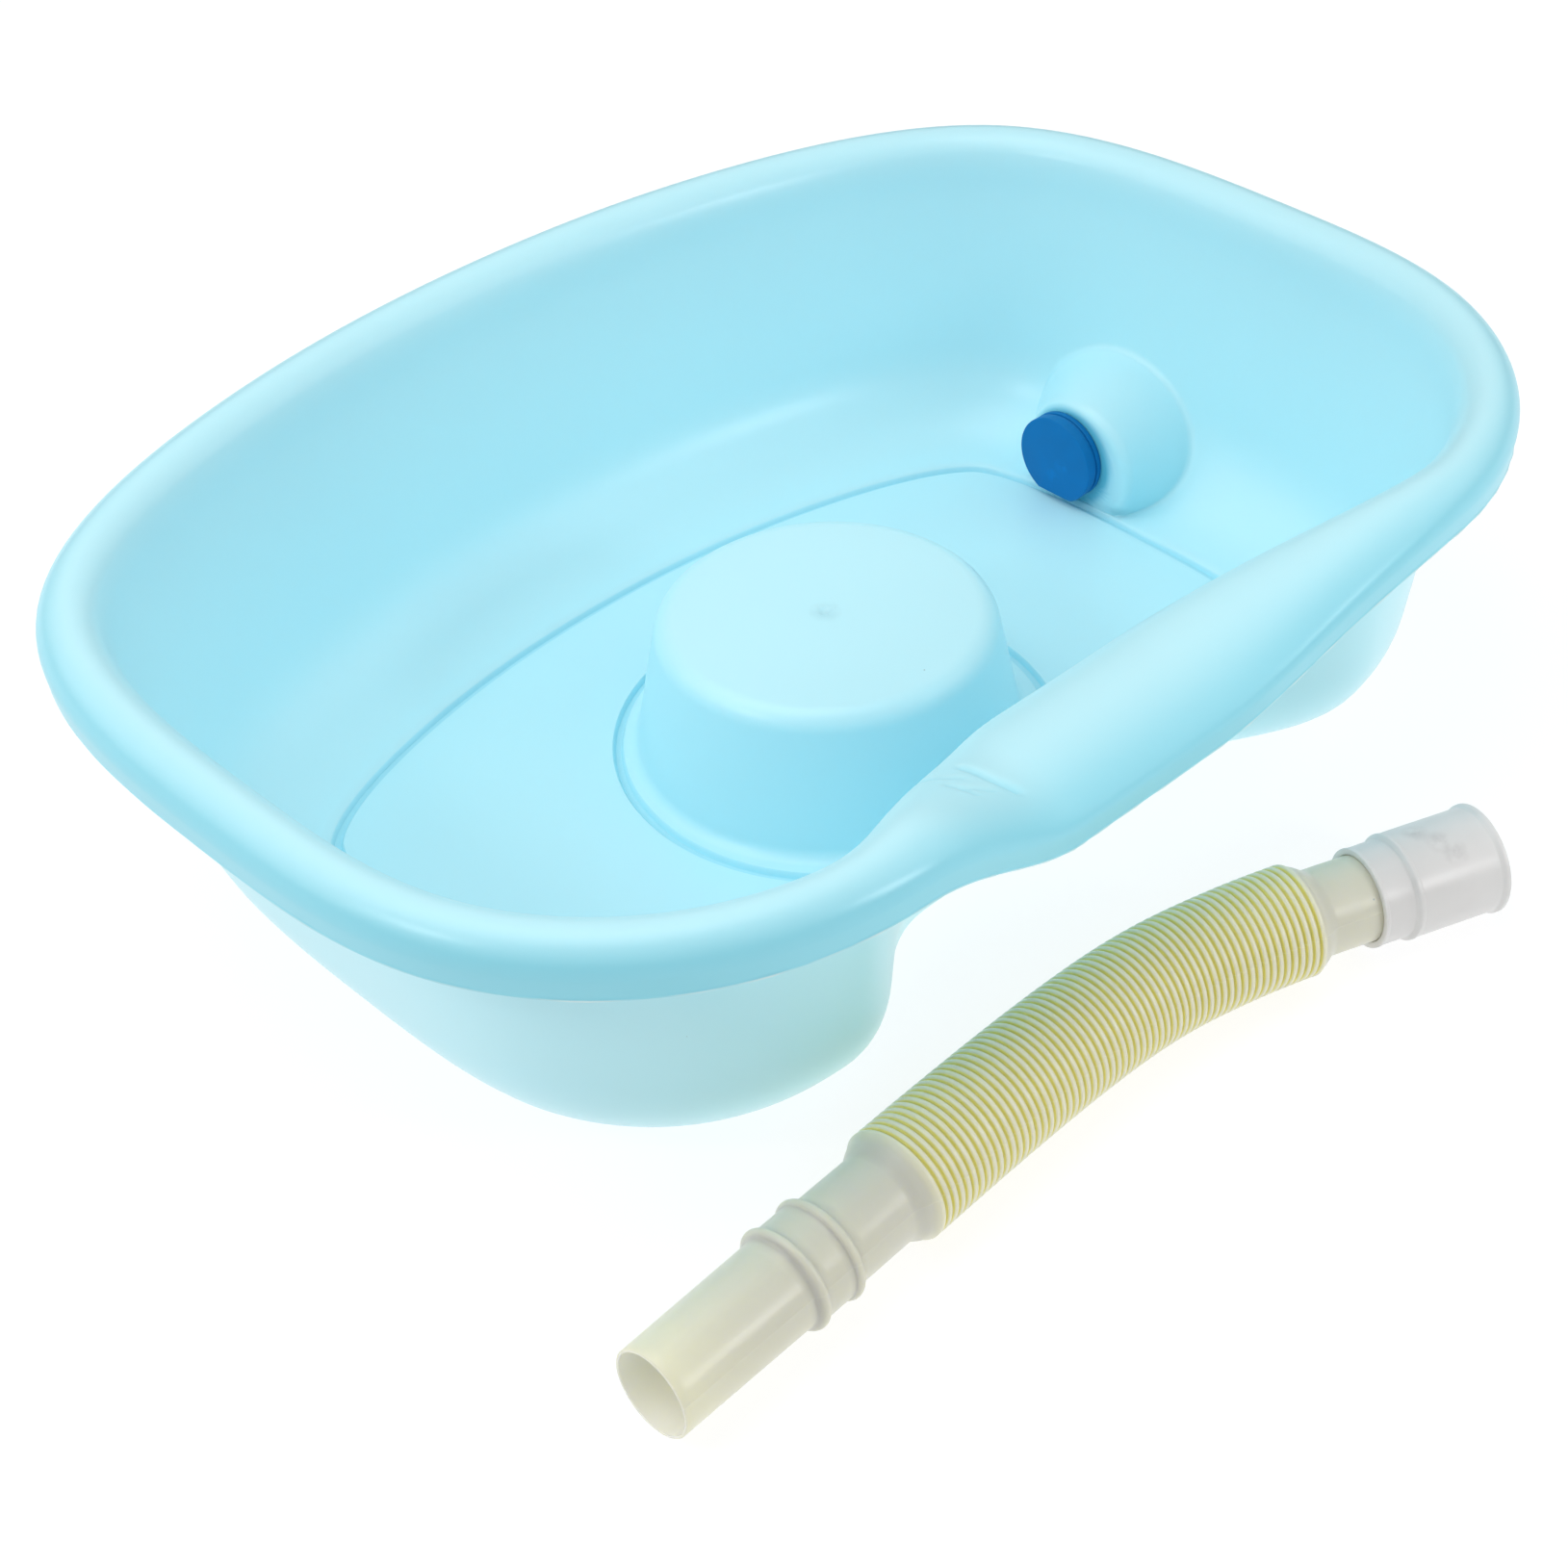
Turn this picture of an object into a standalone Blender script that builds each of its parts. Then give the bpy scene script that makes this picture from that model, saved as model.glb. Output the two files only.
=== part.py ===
"""Portable shampoo basin: a moulded basin with a head pedestal and a neck rest,
a rubber drain plug, and a loose ribbed drain hose with a coupling on its far end.

Metres, +Z up. +X points to the drain end, +Y away from the neck rest. The origin
lies on the table below the middle of the basin's outer box."""
import math

import bmesh
import bpy
import numpy as np
from mathutils import Matrix, Vector

# Basin shell, driving sizes
BASIN_LENGTH = 0.580
BASIN_DEPTH = 0.428
RIM_HEIGHT = 0.1415
WALL = 0.0024
STATIONS = 68
STATION_CROWDING = 0.3

# Rolled lip
LIP_RADIUS = 0.0123
LIP_SKIRT = 0.0085
LIP_SKIRT_DRAFT = 0.0008
LIP_STEPS = 6

# Plan of the lip's centreline, back centre round to front centre, as shares of
# its half length and half depth. The curve is fitted to the full size afterwards.
RIM_PLAN_SHARES = (
    (0.0, 1.0),
    (0.505, 0.914),
    (0.907, 0.608),
    (1.0, -0.122),
    (0.946, -0.609),
    (0.791, -0.873),
    (0.598, -0.990),
    (0.300, -1.0),
    (0.0, -1.0),
)

# Floor, wall foot and standing ridges
FOOT_HEIGHT = 0.0020
FLOOR_INSET = 0.077
LOBE_FLOOR_INSET = 0.066
LOBE_BEARING = math.radians(-110)
WALL_FOOT_RADIUS = 0.048
WALL_FOOT_STEPS = 4
GROOVE_WIDTH = 0.0046
GROOVE_FLANK = 0.0012

# Neck rest in the middle of the front
NECK_DIP = 0.0234
NECK_REST_WIDTH = 0.0617
NECK_REST_CROWN = 0.0128
NECK_FLOOR_INSET = 0.0850
NECK_FOOT_RADIUS = 0.012

# How far from the middle the neck rest keeps its full form, and where it ends
NECK_LEFT_FLAT = 0.061
NECK_LEFT_END = 0.138
NECK_RIGHT_FLAT = 0.011
NECK_RIGHT_END = 0.150
NECK_FOOT_FLAT = 0.054
NECK_FOOT_END = 0.146

# Head pedestal
PEDESTAL_Y = -0.0183
PEDESTAL_HEIGHT = 0.0670
PEDESTAL_TOP_RADIUS = 0.0712
PEDESTAL_BASE_RADIUS = 0.0805
PEDESTAL_EDGE = 0.0100
PEDESTAL_EDGE_STEPS = 3
PEDESTAL_FOOT = 0.0060
RING_RADIUS = 0.0900
GATE_RADIUS = 0.0040
GATE_DEPTH = 0.0008

# Drain boss in the +X end wall
DRAIN_Y = 0.0297
DRAIN_Z = 0.0272
BOSS_INSET = 0.0892
BOSS_FACE_RADIUS = 0.0345
BOSS_BASE_RADIUS = 0.0388
BOSS_EDGE = 0.0045
BOSS_SIDES = 40
SLEEVE_LENGTH = 0.0400
SLEEVE_SIDES = 32

# Drain plug
PLUG_FRONT_RADIUS = 0.0210
PLUG_FRONT_THICKNESS = 0.0038
PLUG_GROOVE_RADIUS = 0.0188
PLUG_GROOVE_WIDTH = 0.0016
PLUG_FLANGE_RADIUS = 0.0214
PLUG_FLANGE_THICKNESS = 0.0034
PLUG_STEM_LENGTH = 0.0150
PLUG_EDGE = 0.0006
PLUG_FLAT_DROP = 0.0184

# Drain hose, one blow moulding, measured from its plain end
HOSE_PLAIN_LENGTH = 0.0593
HOSE_PLAIN_RADIUS = 0.0166
HOSE_PLAIN_TAPER = 0.0006
HOSE_WALL = 0.0011
COLLAR_LENGTH = 0.0205
COLLAR_RADIUS = 0.0185
COLLAR_BEAD_RADIUS = 0.0200
COLLAR_BEAD_WIDTH = 0.0040
CUFF_RADIUS = 0.0174
CUFF_LENGTH = 0.0260
SHOULDER_LENGTH = 0.0080
BELLOWS_CREST = 0.0219
BELLOWS_ROOT = 0.0201
BELLOWS_PITCH = 0.00335
BELLOWS_RIBS = 60
FAR_CUFF_RADIUS = 0.0169
FAR_CUFF_SHOWN = 0.0185
FAR_CUFF_HELD = 0.0240
TUBE_RESOLUTION = 2
BORE_STEP = 0.012

# The hose's axis on the table, from its far cuff to its plain end
HOSE_ROUTE = (
    (0.0780, -0.2603),
    (0.0535, -0.2512),
    (0.0290, -0.2421),
    (0.0118, -0.2363),
    (-0.0085, -0.2307),
    (-0.0307, -0.2260),
    (-0.0530, -0.2236),
    (-0.0765, -0.2229),
    (-0.1000, -0.2231),
    (-0.1240, -0.2239),
    (-0.1480, -0.2250),
    (-0.1720, -0.2263),
    (-0.1960, -0.2276),
    (-0.2200, -0.2289),
    (-0.2440, -0.2302),
    (-0.2680, -0.2315),
    (-0.2860, -0.2325),
)

# Coupling on the hose's far cuff
COUPLING_NARROW_RADIUS = 0.0193
COUPLING_NARROW_LENGTH = 0.0130
COUPLING_WIDE_RADIUS = 0.0207
COUPLING_WIDE_LENGTH = 0.0400
COUPLING_FLARE_RADIUS = 0.0217
COUPLING_FLARE_LENGTH = 0.0030
COUPLING_WALL = 0.0016
COUPLING_STOP = 0.0016
COUPLING_SIDES = 32

# Clearances
MESH_GAP = 0.0003
SLIP_GAP = 0.0004
CUT_OVERRUN = 0.0100
WELD = 0.00001

# Worked out from the sizes above
LIP_CENTRE_Z = RIM_HEIGHT - LIP_RADIUS
FLOOR_Z = FOOT_HEIGHT + WALL
HALF_LENGTH = BASIN_LENGTH / 2 - LIP_RADIUS
HALF_DEPTH = BASIN_DEPTH / 2 - LIP_RADIUS
BOSS_FACE_X = BASIN_LENGTH / 2 - BOSS_INSET
SLEEVE_BORE = HOSE_PLAIN_RADIUS + SLIP_GAP
SLEEVE_RADIUS = SLEEVE_BORE + WALL
PLUG_STEM_RADIUS = SLEEVE_BORE - MESH_GAP
BELLOWS_LENGTH = BELLOWS_RIBS * BELLOWS_PITCH
HOSE_AXIS_Z = BELLOWS_CREST

# Colours, linear
CYAN = (0.36, 0.80, 0.90, 1.0)
BLUE = (0.005, 0.15, 0.48, 1.0)
CREAM = (0.66, 0.67, 0.50, 1.0)
MILKY = (0.70, 0.73, 0.75, 1.0)


def clear_scene():
    for obj in list(bpy.data.objects):
        bpy.data.objects.remove(obj, do_unlink=True)


def material(name, colour, roughness, metallic):
    mat = bpy.data.materials.new(name)
    mat.use_nodes = True
    shader = mat.node_tree.nodes["Principled BSDF"]
    shader.inputs["Base Color"].default_value = colour
    shader.inputs["Roughness"].default_value = roughness
    shader.inputs["Metallic"].default_value = metallic
    return mat


def add_object(name, bm, mat=None, parent=None):
    """Puts a finished bmesh into the scene under a name."""
    bmesh.ops.recalc_face_normals(bm, faces=bm.faces)
    mesh = bpy.data.meshes.new(name)
    bm.to_mesh(mesh)
    bm.free()
    obj = bpy.data.objects.new(name, mesh)
    bpy.context.scene.collection.objects.link(obj)
    if mat:
        mesh.materials.append(mat)
        mesh.shade_smooth()
        mesh.set_sharp_from_angle(angle=math.radians(40))
    obj.parent = parent
    return obj


def hide_cutter(obj):
    obj.hide_render = True
    obj.display_type = "WIRE"


def add_boolean(obj, cutter, operation):
    hide_cutter(cutter)
    mod = obj.modifiers.new(cutter.name, "BOOLEAN")
    mod.operation = operation
    mod.solver = "EXACT"
    mod.object = cutter


def spline_points(points, closed, count, crowding=0.0):
    """Points on a smooth cubic curve through the given points, evenly spaced or,
    on a closed curve, crowded towards the side opposite its start."""
    pts = np.array(points, dtype=float)
    if closed:
        pts = np.vstack([pts, pts[:1]])
    step = np.linalg.norm(np.diff(pts, axis=0), axis=1)
    knots = np.concatenate([[0.0], np.cumsum(step)])
    last = len(pts) - 1
    size = last if closed else last + 1
    system = np.zeros((size, size))
    target = np.zeros((size, pts.shape[1]))
    slope = np.diff(pts, axis=0) / step[:, None]
    for i in range(size):
        if not closed and i in (0, last):
            system[i, i] = 1.0
            continue
        before, after = step[i - 1], step[i % last]
        system[i, (i - 1) % size] += before
        system[i, i] += 2 * (before + after)
        system[i, (i + 1) % size] += after
        target[i] = 6 * (slope[i % last] - slope[i - 1])
    bend = np.linalg.solve(system, target)
    if closed:
        bend = np.vstack([bend, bend[:1]])
    fine = np.linspace(0.0, knots[-1], 40 * last + 1)
    span = np.clip(np.searchsorted(knots, fine, side="right") - 1, 0, last - 1)
    h = step[span][:, None]
    a = ((knots[span + 1] - fine)[:, None]) / h
    b = 1.0 - a
    curve = a * pts[span] + b * pts[span + 1]
    curve += ((a ** 3 - a) * bend[span] + (b ** 3 - b) * bend[span + 1]) * h ** 2 / 6
    run = np.concatenate([[0.0], np.cumsum(np.linalg.norm(np.diff(curve, axis=0), axis=1))])
    turn = np.linspace(0.0, 1.0, count + 1)[:count] if closed else np.linspace(0.0, 1.0, count)
    where = run[-1] * (turn + crowding * np.sin(2 * np.pi * turn) / (2 * np.pi))
    return np.column_stack([np.interp(where, run, curve[:, k]) for k in range(pts.shape[1])])


def rim_plan():
    """Lip centreline in plan and its outward directions, one row for each station."""
    half = [(x * HALF_LENGTH, y * HALF_DEPTH) for x, y in RIM_PLAN_SHARES]
    mirrored = [(-x, y) for x, y in reversed(half[1:-1])]
    plan = spline_points(half + mirrored, True, STATIONS, STATION_CROWDING)
    low, high = plan.min(axis=0), plan.max(axis=0)
    plan = (plan - (low + high) / 2) / (high - low) * (2 * HALF_LENGTH, 2 * HALF_DEPTH)
    along = np.roll(plan, -1, axis=0) - np.roll(plan, 1, axis=0)
    outward = np.column_stack([along[:, 1], -along[:, 0]])
    outward /= np.linalg.norm(outward, axis=1)[:, None]
    if (outward * plan).sum() < 0:
        outward = -outward
    return plan, outward


def ease(value, end, flat):
    """0 from the end outwards, 1 from the flat inwards, smooth between."""
    t = min(max((end - value) / (end - flat), 0.0), 1.0)
    return t * t * (3 - 2 * t)


def lobe_share(way):
    """How fully a stretch of wall faces the way in which the floor reaches furthest out."""
    towards = way[0] * math.cos(LOBE_BEARING) + way[1] * math.sin(LOBE_BEARING)
    return max(towards, 0.0) ** 2


def neck_shares(point):
    """How far the lip is lowered and widened, and the wall foot drawn in, at a point."""
    if point[1] > 0:
        return 0.0, 0.0
    away = abs(point[0])
    foot = ease(away, NECK_FOOT_END, NECK_FOOT_FLAT)
    if point[0] < 0:
        return ease(away, NECK_LEFT_END, NECK_LEFT_FLAT), foot
    return ease(away, NECK_RIGHT_END, NECK_RIGHT_FLAT), foot


def mix(plain, neck, share):
    return plain + (neck - plain) * share


def lip_profile(share):
    """Skirt, then over the crown to the inner side: (outward, z) pairs."""
    half_width = mix(LIP_RADIUS, NECK_REST_WIDTH / 2, share)
    crown = mix(LIP_RADIUS, NECK_REST_CROWN, share)
    centre_z = LIP_CENTRE_Z - NECK_DIP * share
    centre = LIP_RADIUS - half_width
    points = [(LIP_RADIUS - LIP_SKIRT_DRAFT, centre_z - LIP_SKIRT)]
    for k in range(LIP_STEPS + 1):
        turn = math.pi * k / LIP_STEPS
        points.append((centre + half_width * math.cos(turn), centre_z + crown * math.sin(turn)))
    return points


def wall_profile(facing, foot_share, top):
    """From under the lip's inner side down to the floor groove: (outward, z) pairs."""
    inset = mix(mix(FLOOR_INSET, LOBE_FLOOR_INSET, facing), NECK_FLOOR_INSET, foot_share)
    radius = mix(WALL_FOOT_RADIUS, NECK_FOOT_RADIUS, foot_share)
    reach = inset + top[0]
    rise = top[1] - FLOOR_Z - radius
    draft = math.acos(radius / math.hypot(reach, rise)) - math.atan2(rise, reach)
    sweep = math.pi / 2 - draft
    foot = []
    for k in range(WALL_FOOT_STEPS + 1):
        turn = sweep * (1 - k / WALL_FOOT_STEPS)
        foot.append((radius * math.sin(turn) - inset, FLOOR_Z + radius * (1 - math.cos(turn))))
    middle = ((top[0] + foot[0][0]) / 2, (top[1] + foot[0][1]) / 2)
    return [middle] + foot


def groove_profile(edge):
    """Groove that makes a standing ridge below, from its outer to its inner edge."""
    low = FLOOR_Z - FOOT_HEIGHT
    return [
        (edge - GROOVE_FLANK, low),
        (edge - GROOVE_WIDTH + GROOVE_FLANK, low),
        (edge - GROOVE_WIDTH, FLOOR_Z),
    ]


def pedestal_profile():
    """Ring groove, foot, side, rounded edge and gate mark: (radius, z) pairs."""
    outer = RING_RADIUS + GROOVE_WIDTH / 2
    points = [(outer, FLOOR_Z)] + groove_profile(outer)
    side = math.atan2(PEDESTAL_BASE_RADIUS - PEDESTAL_TOP_RADIUS, PEDESTAL_HEIGHT - FLOOR_Z)
    foot_centre = PEDESTAL_BASE_RADIUS + PEDESTAL_FOOT
    for k in range(3):
        turn = (math.pi / 2 - side) * k / 2
        points.append((foot_centre - PEDESTAL_FOOT * math.sin(turn), FLOOR_Z + PEDESTAL_FOOT * (1 - math.cos(turn))))
    edge_centre = PEDESTAL_TOP_RADIUS - PEDESTAL_EDGE
    for k in range(PEDESTAL_EDGE_STEPS + 1):
        turn = side + (math.pi / 2 - side) * k / PEDESTAL_EDGE_STEPS
        points.append((edge_centre + PEDESTAL_EDGE * math.cos(turn),
                       PEDESTAL_HEIGHT - PEDESTAL_EDGE * (1 - math.sin(turn))))
    points.append((GATE_RADIUS, PEDESTAL_HEIGHT))
    points.append((GATE_RADIUS / 2, PEDESTAL_HEIGHT - GATE_DEPTH))
    return points


def offset_profile(points, distance, before=None, after=None):
    """Moves a profile to its dry side by a distance, with mitred corners."""
    chain = ([before] if before else []) + list(points) + ([after] if after else [])
    pts = np.array(chain, dtype=float)
    way = np.diff(pts, axis=0)
    way /= np.linalg.norm(way, axis=1)[:, None]
    dry = np.column_stack([-way[:, 1], way[:, 0]])
    moved = []
    for i in range(len(pts)):
        a = dry[max(i - 1, 0)]
        b = dry[min(i, len(dry) - 1)]
        middle = a + b
        middle /= np.linalg.norm(middle)
        moved.append(pts[i] + middle * distance / max(float(middle @ a), 0.5))
    first = 1 if before else 0
    return [tuple(p) for p in moved[first:first + len(points)]]


def shell_rings(depth):
    """Closed rings of points, lip edge to pedestal middle, set back by a depth."""
    plan, outward = rim_plan()
    bowl = []
    for point, way in zip(plan, outward):
        lip_share, foot_share = neck_shares(point)
        lip = lip_profile(lip_share)
        profile = lip + wall_profile(lobe_share(way), foot_share, lip[-1])
        profile += groove_profile(profile[-1][0])
        floor_on = (profile[-1][0] - GROOVE_WIDTH, FLOOR_Z)
        bowl.append([(point[0] + way[0] * s, point[1] + way[1] * s, z)
                     for s, z in offset_profile(profile, depth, after=floor_on)])
    ring_edge = pedestal_profile()
    floor_before = (ring_edge[0][0] + GROOVE_WIDTH, FLOOR_Z)
    axis_after = (0.0, ring_edge[-1][1])
    pedestal = offset_profile(ring_edge, depth, before=floor_before, after=axis_after)
    turns = [math.atan2(p[1] - PEDESTAL_Y, p[0]) for p in plan]
    rings = [[column[k] for column in bowl] for k in range(len(bowl[0]))]
    for radius, z in pedestal:
        rings.append([(radius * math.cos(t), PEDESTAL_Y + radius * math.sin(t), z) for t in turns])
    return rings


def start_ring(bm, places):
    """A circle of vertices moved to the given places."""
    made = bmesh.ops.create_circle(bm, segments=len(places), radius=1.0)
    ring = made["verts"]
    for vert, place in zip(ring, places):
        vert.co = place
    return ring


def ring_edges(bm, ring):
    return [bm.edges.get((ring[i - 1], ring[i])) for i in range(len(ring))]


def extrude_ring(bm, ring, places):
    """Extrudes a ring of edges and moves the new ring to the given places."""
    made = bmesh.ops.extrude_edge_only(bm, edges=ring_edges(bm, ring))
    fresh = {g for g in made["geom"] if isinstance(g, bmesh.types.BMVert)}
    new_ring = []
    for vert, place in zip(ring, places):
        twin = next(e.other_vert(vert) for e in vert.link_edges if e.other_vert(vert) in fresh)
        twin.co = place
        new_ring.append(twin)
    return new_ring


def cap_ring(bm, ring):
    bmesh.ops.contextual_create(bm, geom=ring_edges(bm, ring))


def build_shell_skin():
    """The basin's wall as one closed solid, before the drain boss is made in it."""
    wet = shell_rings(0.0)
    dry = shell_rings(WALL)
    bm = bmesh.new()
    first = start_ring(bm, wet[0])
    ring = first
    for places in wet[1:]:
        ring = extrude_ring(bm, ring, places)
    cap_ring(bm, ring)
    ring = first
    for places in dry:
        ring = extrude_ring(bm, ring, places)
    cap_ring(bm, ring)
    return bm


def build_wall_core():
    """The space inside the middle of the basin's wall, which trims the boss."""
    rings = shell_rings(WALL / 2)
    bowl = rings[LIP_STEPS + 1:LIP_STEPS + 3 + WALL_FOOT_STEPS]
    bm = bmesh.new()
    roof = [(x, y, RIM_HEIGHT + LIP_RADIUS) for x, y, z in bowl[0]]
    ring = start_ring(bm, roof)
    cap_ring(bm, ring)
    for places in bowl:
        ring = extrude_ring(bm, ring, places)
    low = [(x, y, FOOT_HEIGHT + WALL / 4) for x, y, z in bowl[-1]]
    ring = extrude_ring(bm, ring, low)
    cap_ring(bm, ring)
    return bm


def build_turned(profile, sides):
    """A closed solid turned about X from (x, radius) pairs, first and last on one end."""
    bm = bmesh.new()
    rings = []
    for x, radius in profile:
        rings.append([(x, radius * math.cos(t), radius * math.sin(t))
                      for t in (2 * math.pi * k / sides for k in range(sides))])
    ring = start_ring(bm, rings[0])
    cap_ring(bm, ring)
    for places in rings[1:]:
        ring = extrude_ring(bm, ring, places)
    cap_ring(bm, ring)
    return bm


def build_turned_tube(profile, sides):
    """A tube turned about X from a closed loop of (x, radius) pairs."""
    bm = bmesh.new()
    verts = [bm.verts.new((x, 0.0, radius)) for x, radius in profile]
    edges = [bm.edges.new((verts[i - 1], verts[i])) for i in range(len(verts))]
    bmesh.ops.spin(bm, geom=verts + edges, cent=(0, 0, 0), axis=(1, 0, 0),
                   angle=2 * math.pi, steps=sides, use_merge=True)
    return bm


def add_drain_boss(shell):
    """Boss, its recess from outside, the sleeve in it and the bore through both."""
    beyond = BASIN_LENGTH / 2 + CUT_OVERRUN
    draft = (BOSS_BASE_RADIUS - BOSS_FACE_RADIUS) / (HALF_LENGTH - BOSS_FACE_X)

    def boss_radius(x):
        return BOSS_FACE_RADIUS + draft * (x - BOSS_FACE_X)

    edge = BOSS_EDGE
    outside = [
        (BOSS_FACE_X, BOSS_FACE_RADIUS - edge),
        (BOSS_FACE_X + edge * (1 - math.cos(math.pi / 4)),
         BOSS_FACE_RADIUS - edge * (1 - math.sin(math.pi / 4))),
        (BOSS_FACE_X + edge, boss_radius(BOSS_FACE_X + edge)),
        (beyond, boss_radius(beyond)),
    ]
    inside = [
        (BOSS_FACE_X + WALL, BOSS_FACE_RADIUS - edge),
        (BOSS_FACE_X + edge, boss_radius(BOSS_FACE_X + edge) - WALL),
        (beyond + CUT_OVERRUN, boss_radius(beyond + CUT_OVERRUN) - WALL),
    ]
    sleeve = [(BOSS_FACE_X + WALL / 2, SLEEVE_RADIUS), (BOSS_FACE_X + SLEEVE_LENGTH, SLEEVE_RADIUS)]
    bore = [(BOSS_FACE_X - CUT_OVERRUN, SLEEVE_BORE), (beyond, SLEEVE_BORE)]
    place = Matrix.Translation((0.0, DRAIN_Y, DRAIN_Z))
    fill = add_object("guide_boss", build_turned(outside, BOSS_SIDES))
    recess = add_object("cutter_recess", build_turned(inside, BOSS_SIDES))
    sleeve = add_object("guide_sleeve", build_turned(sleeve, SLEEVE_SIDES))
    bore = add_object("cutter_bore", build_turned(bore, SLEEVE_SIDES))
    core = add_object("guide_core", build_wall_core())
    for obj in (fill, recess, sleeve, bore):
        obj.matrix_world = place
    add_boolean(fill, core, "INTERSECT")
    add_boolean(shell, fill, "UNION")
    add_boolean(shell, recess, "DIFFERENCE")
    add_boolean(shell, sleeve, "UNION")
    add_boolean(shell, bore, "DIFFERENCE")


def make_basin():
    mat = material("basin_cyan", CYAN, 0.22, 0.0)
    shell = add_object("basin_shell", build_shell_skin(), mat)
    add_drain_boss(shell)
    return shell


def plug_profile():
    """From the wet face to the stem's end: (x, radius) pairs."""
    seat = BOSS_FACE_X - MESH_GAP
    flange = seat - PLUG_FLANGE_THICKNESS
    groove = flange - PLUG_GROOVE_WIDTH
    front = groove - PLUG_FRONT_THICKNESS
    return front, [
        (front, PLUG_FRONT_RADIUS - PLUG_EDGE),
        (front + PLUG_EDGE, PLUG_FRONT_RADIUS),
        (groove, PLUG_FRONT_RADIUS),
        (groove, PLUG_GROOVE_RADIUS),
        (flange, PLUG_GROOVE_RADIUS),
        (flange, PLUG_FLANGE_RADIUS),
        (seat, PLUG_FLANGE_RADIUS),
        (seat, PLUG_STEM_RADIUS),
        (seat + PLUG_STEM_LENGTH - PLUG_EDGE, PLUG_STEM_RADIUS),
        (seat + PLUG_STEM_LENGTH, PLUG_STEM_RADIUS - PLUG_EDGE),
    ]


def make_plug():
    """Rubber stopper with its origin on the drain's axis at the boss face."""
    front, profile = plug_profile()
    local = [(x - BOSS_FACE_X, radius) for x, radius in profile]
    plug = add_object("drain_plug", build_turned(local, SLEEVE_SIDES), material("plug_blue", BLUE, 0.45, 0.0))
    plug.location = (BOSS_FACE_X, DRAIN_Y, DRAIN_Z)
    bm = bmesh.new()
    bmesh.ops.create_cube(bm, size=1.0)
    depth = BOSS_FACE_X - MESH_GAP / 2 - front + CUT_OVERRUN
    bmesh.ops.scale(bm, vec=(depth, BOSS_BASE_RADIUS * 2, CUT_OVERRUN), verts=bm.verts)
    flat = add_object("cutter_plug_flat", bm)
    flat.location = (front - CUT_OVERRUN + depth / 2, DRAIN_Y, DRAIN_Z - PLUG_FLAT_DROP - CUT_OVERRUN / 2)
    add_boolean(plug, flat, "DIFFERENCE")
    return plug


def hose_sections():
    """Outer radii of the hose as (distance from the plain end, radius) pairs."""
    collar = HOSE_PLAIN_LENGTH
    bead = COLLAR_BEAD_WIDTH
    sections = [(0.0, HOSE_PLAIN_RADIUS), (collar, HOSE_PLAIN_RADIUS + HOSE_PLAIN_TAPER)]
    for centre in (collar + bead / 2, collar + COLLAR_LENGTH - bead / 2):
        sections += [(centre - bead / 2, COLLAR_RADIUS), (centre - bead / 4, COLLAR_BEAD_RADIUS),
                     (centre + bead / 4, COLLAR_BEAD_RADIUS), (centre + bead / 2, COLLAR_RADIUS)]
    cuff = collar + COLLAR_LENGTH
    shoulder = cuff + CUFF_LENGTH
    sections += [(cuff + bead / 2, CUFF_RADIUS), (shoulder, CUFF_RADIUS)]
    start = shoulder + SHOULDER_LENGTH
    sections += [(start, BELLOWS_CREST)]
    for k in range(BELLOWS_RIBS):
        sections += [(start + (k + 0.5) * BELLOWS_PITCH, BELLOWS_ROOT),
                     (start + (k + 1.0) * BELLOWS_PITCH, BELLOWS_CREST)]
    end = start + BELLOWS_LENGTH
    far = end + SHOULDER_LENGTH
    sections += [(far, FAR_CUFF_RADIUS), (far + FAR_CUFF_SHOWN + FAR_CUFF_HELD, FAR_CUFF_RADIUS)]
    kept = [sections[0]]
    for where, radius in sections[1:]:
        if where > kept[-1][0]:
            kept.append((where, radius))
    return kept


def route_reader():
    """A function that gives the axis point at a distance from the plain end."""
    axis = spline_points(list(reversed(HOSE_ROUTE)), False, 8 * len(HOSE_ROUTE))
    run = np.concatenate([[0.0], np.cumsum(np.linalg.norm(np.diff(axis, axis=0), axis=1))])
    last_way = (axis[-1] - axis[-2]) / np.linalg.norm(axis[-1] - axis[-2])

    def at(where):
        over = max(where - run[-1], 0.0)
        x = np.interp(where, run, axis[:, 0]) + last_way[0] * over
        y = np.interp(where, run, axis[:, 1]) + last_way[1] * over
        return Vector((x, y, HOSE_AXIS_Z))
    return at


def add_tube(name, stations, origin, mat=None):
    """A bevelled curve through (point, radius) pairs, with closed ends, as a mesh object."""
    curve = bpy.data.curves.new(name, "CURVE")
    curve.dimensions = "3D"
    curve.twist_mode = "Z_UP"
    curve.bevel_depth = 1.0
    curve.bevel_resolution = TUBE_RESOLUTION
    curve.use_fill_caps = True
    spline = curve.splines.new("POLY")
    spline.points.add(len(stations) - 1)
    spline.use_smooth = True
    for point, (place, radius) in zip(spline.points, stations):
        point.co = (place - origin).to_4d()
        point.radius = radius
    guide = bpy.data.objects.new("guide_" + name, curve)
    bpy.context.scene.collection.objects.link(guide)
    bpy.context.view_layer.update()
    mesh = bpy.data.meshes.new_from_object(guide.evaluated_get(bpy.context.evaluated_depsgraph_get()))
    bpy.data.objects.remove(guide, do_unlink=True)
    bm = bmesh.new()
    bm.from_mesh(mesh)
    bpy.data.meshes.remove(mesh)
    bmesh.ops.remove_doubles(bm, verts=bm.verts, dist=WELD)
    tube = add_object(name, bm, mat)
    tube.location = origin
    return tube


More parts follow.
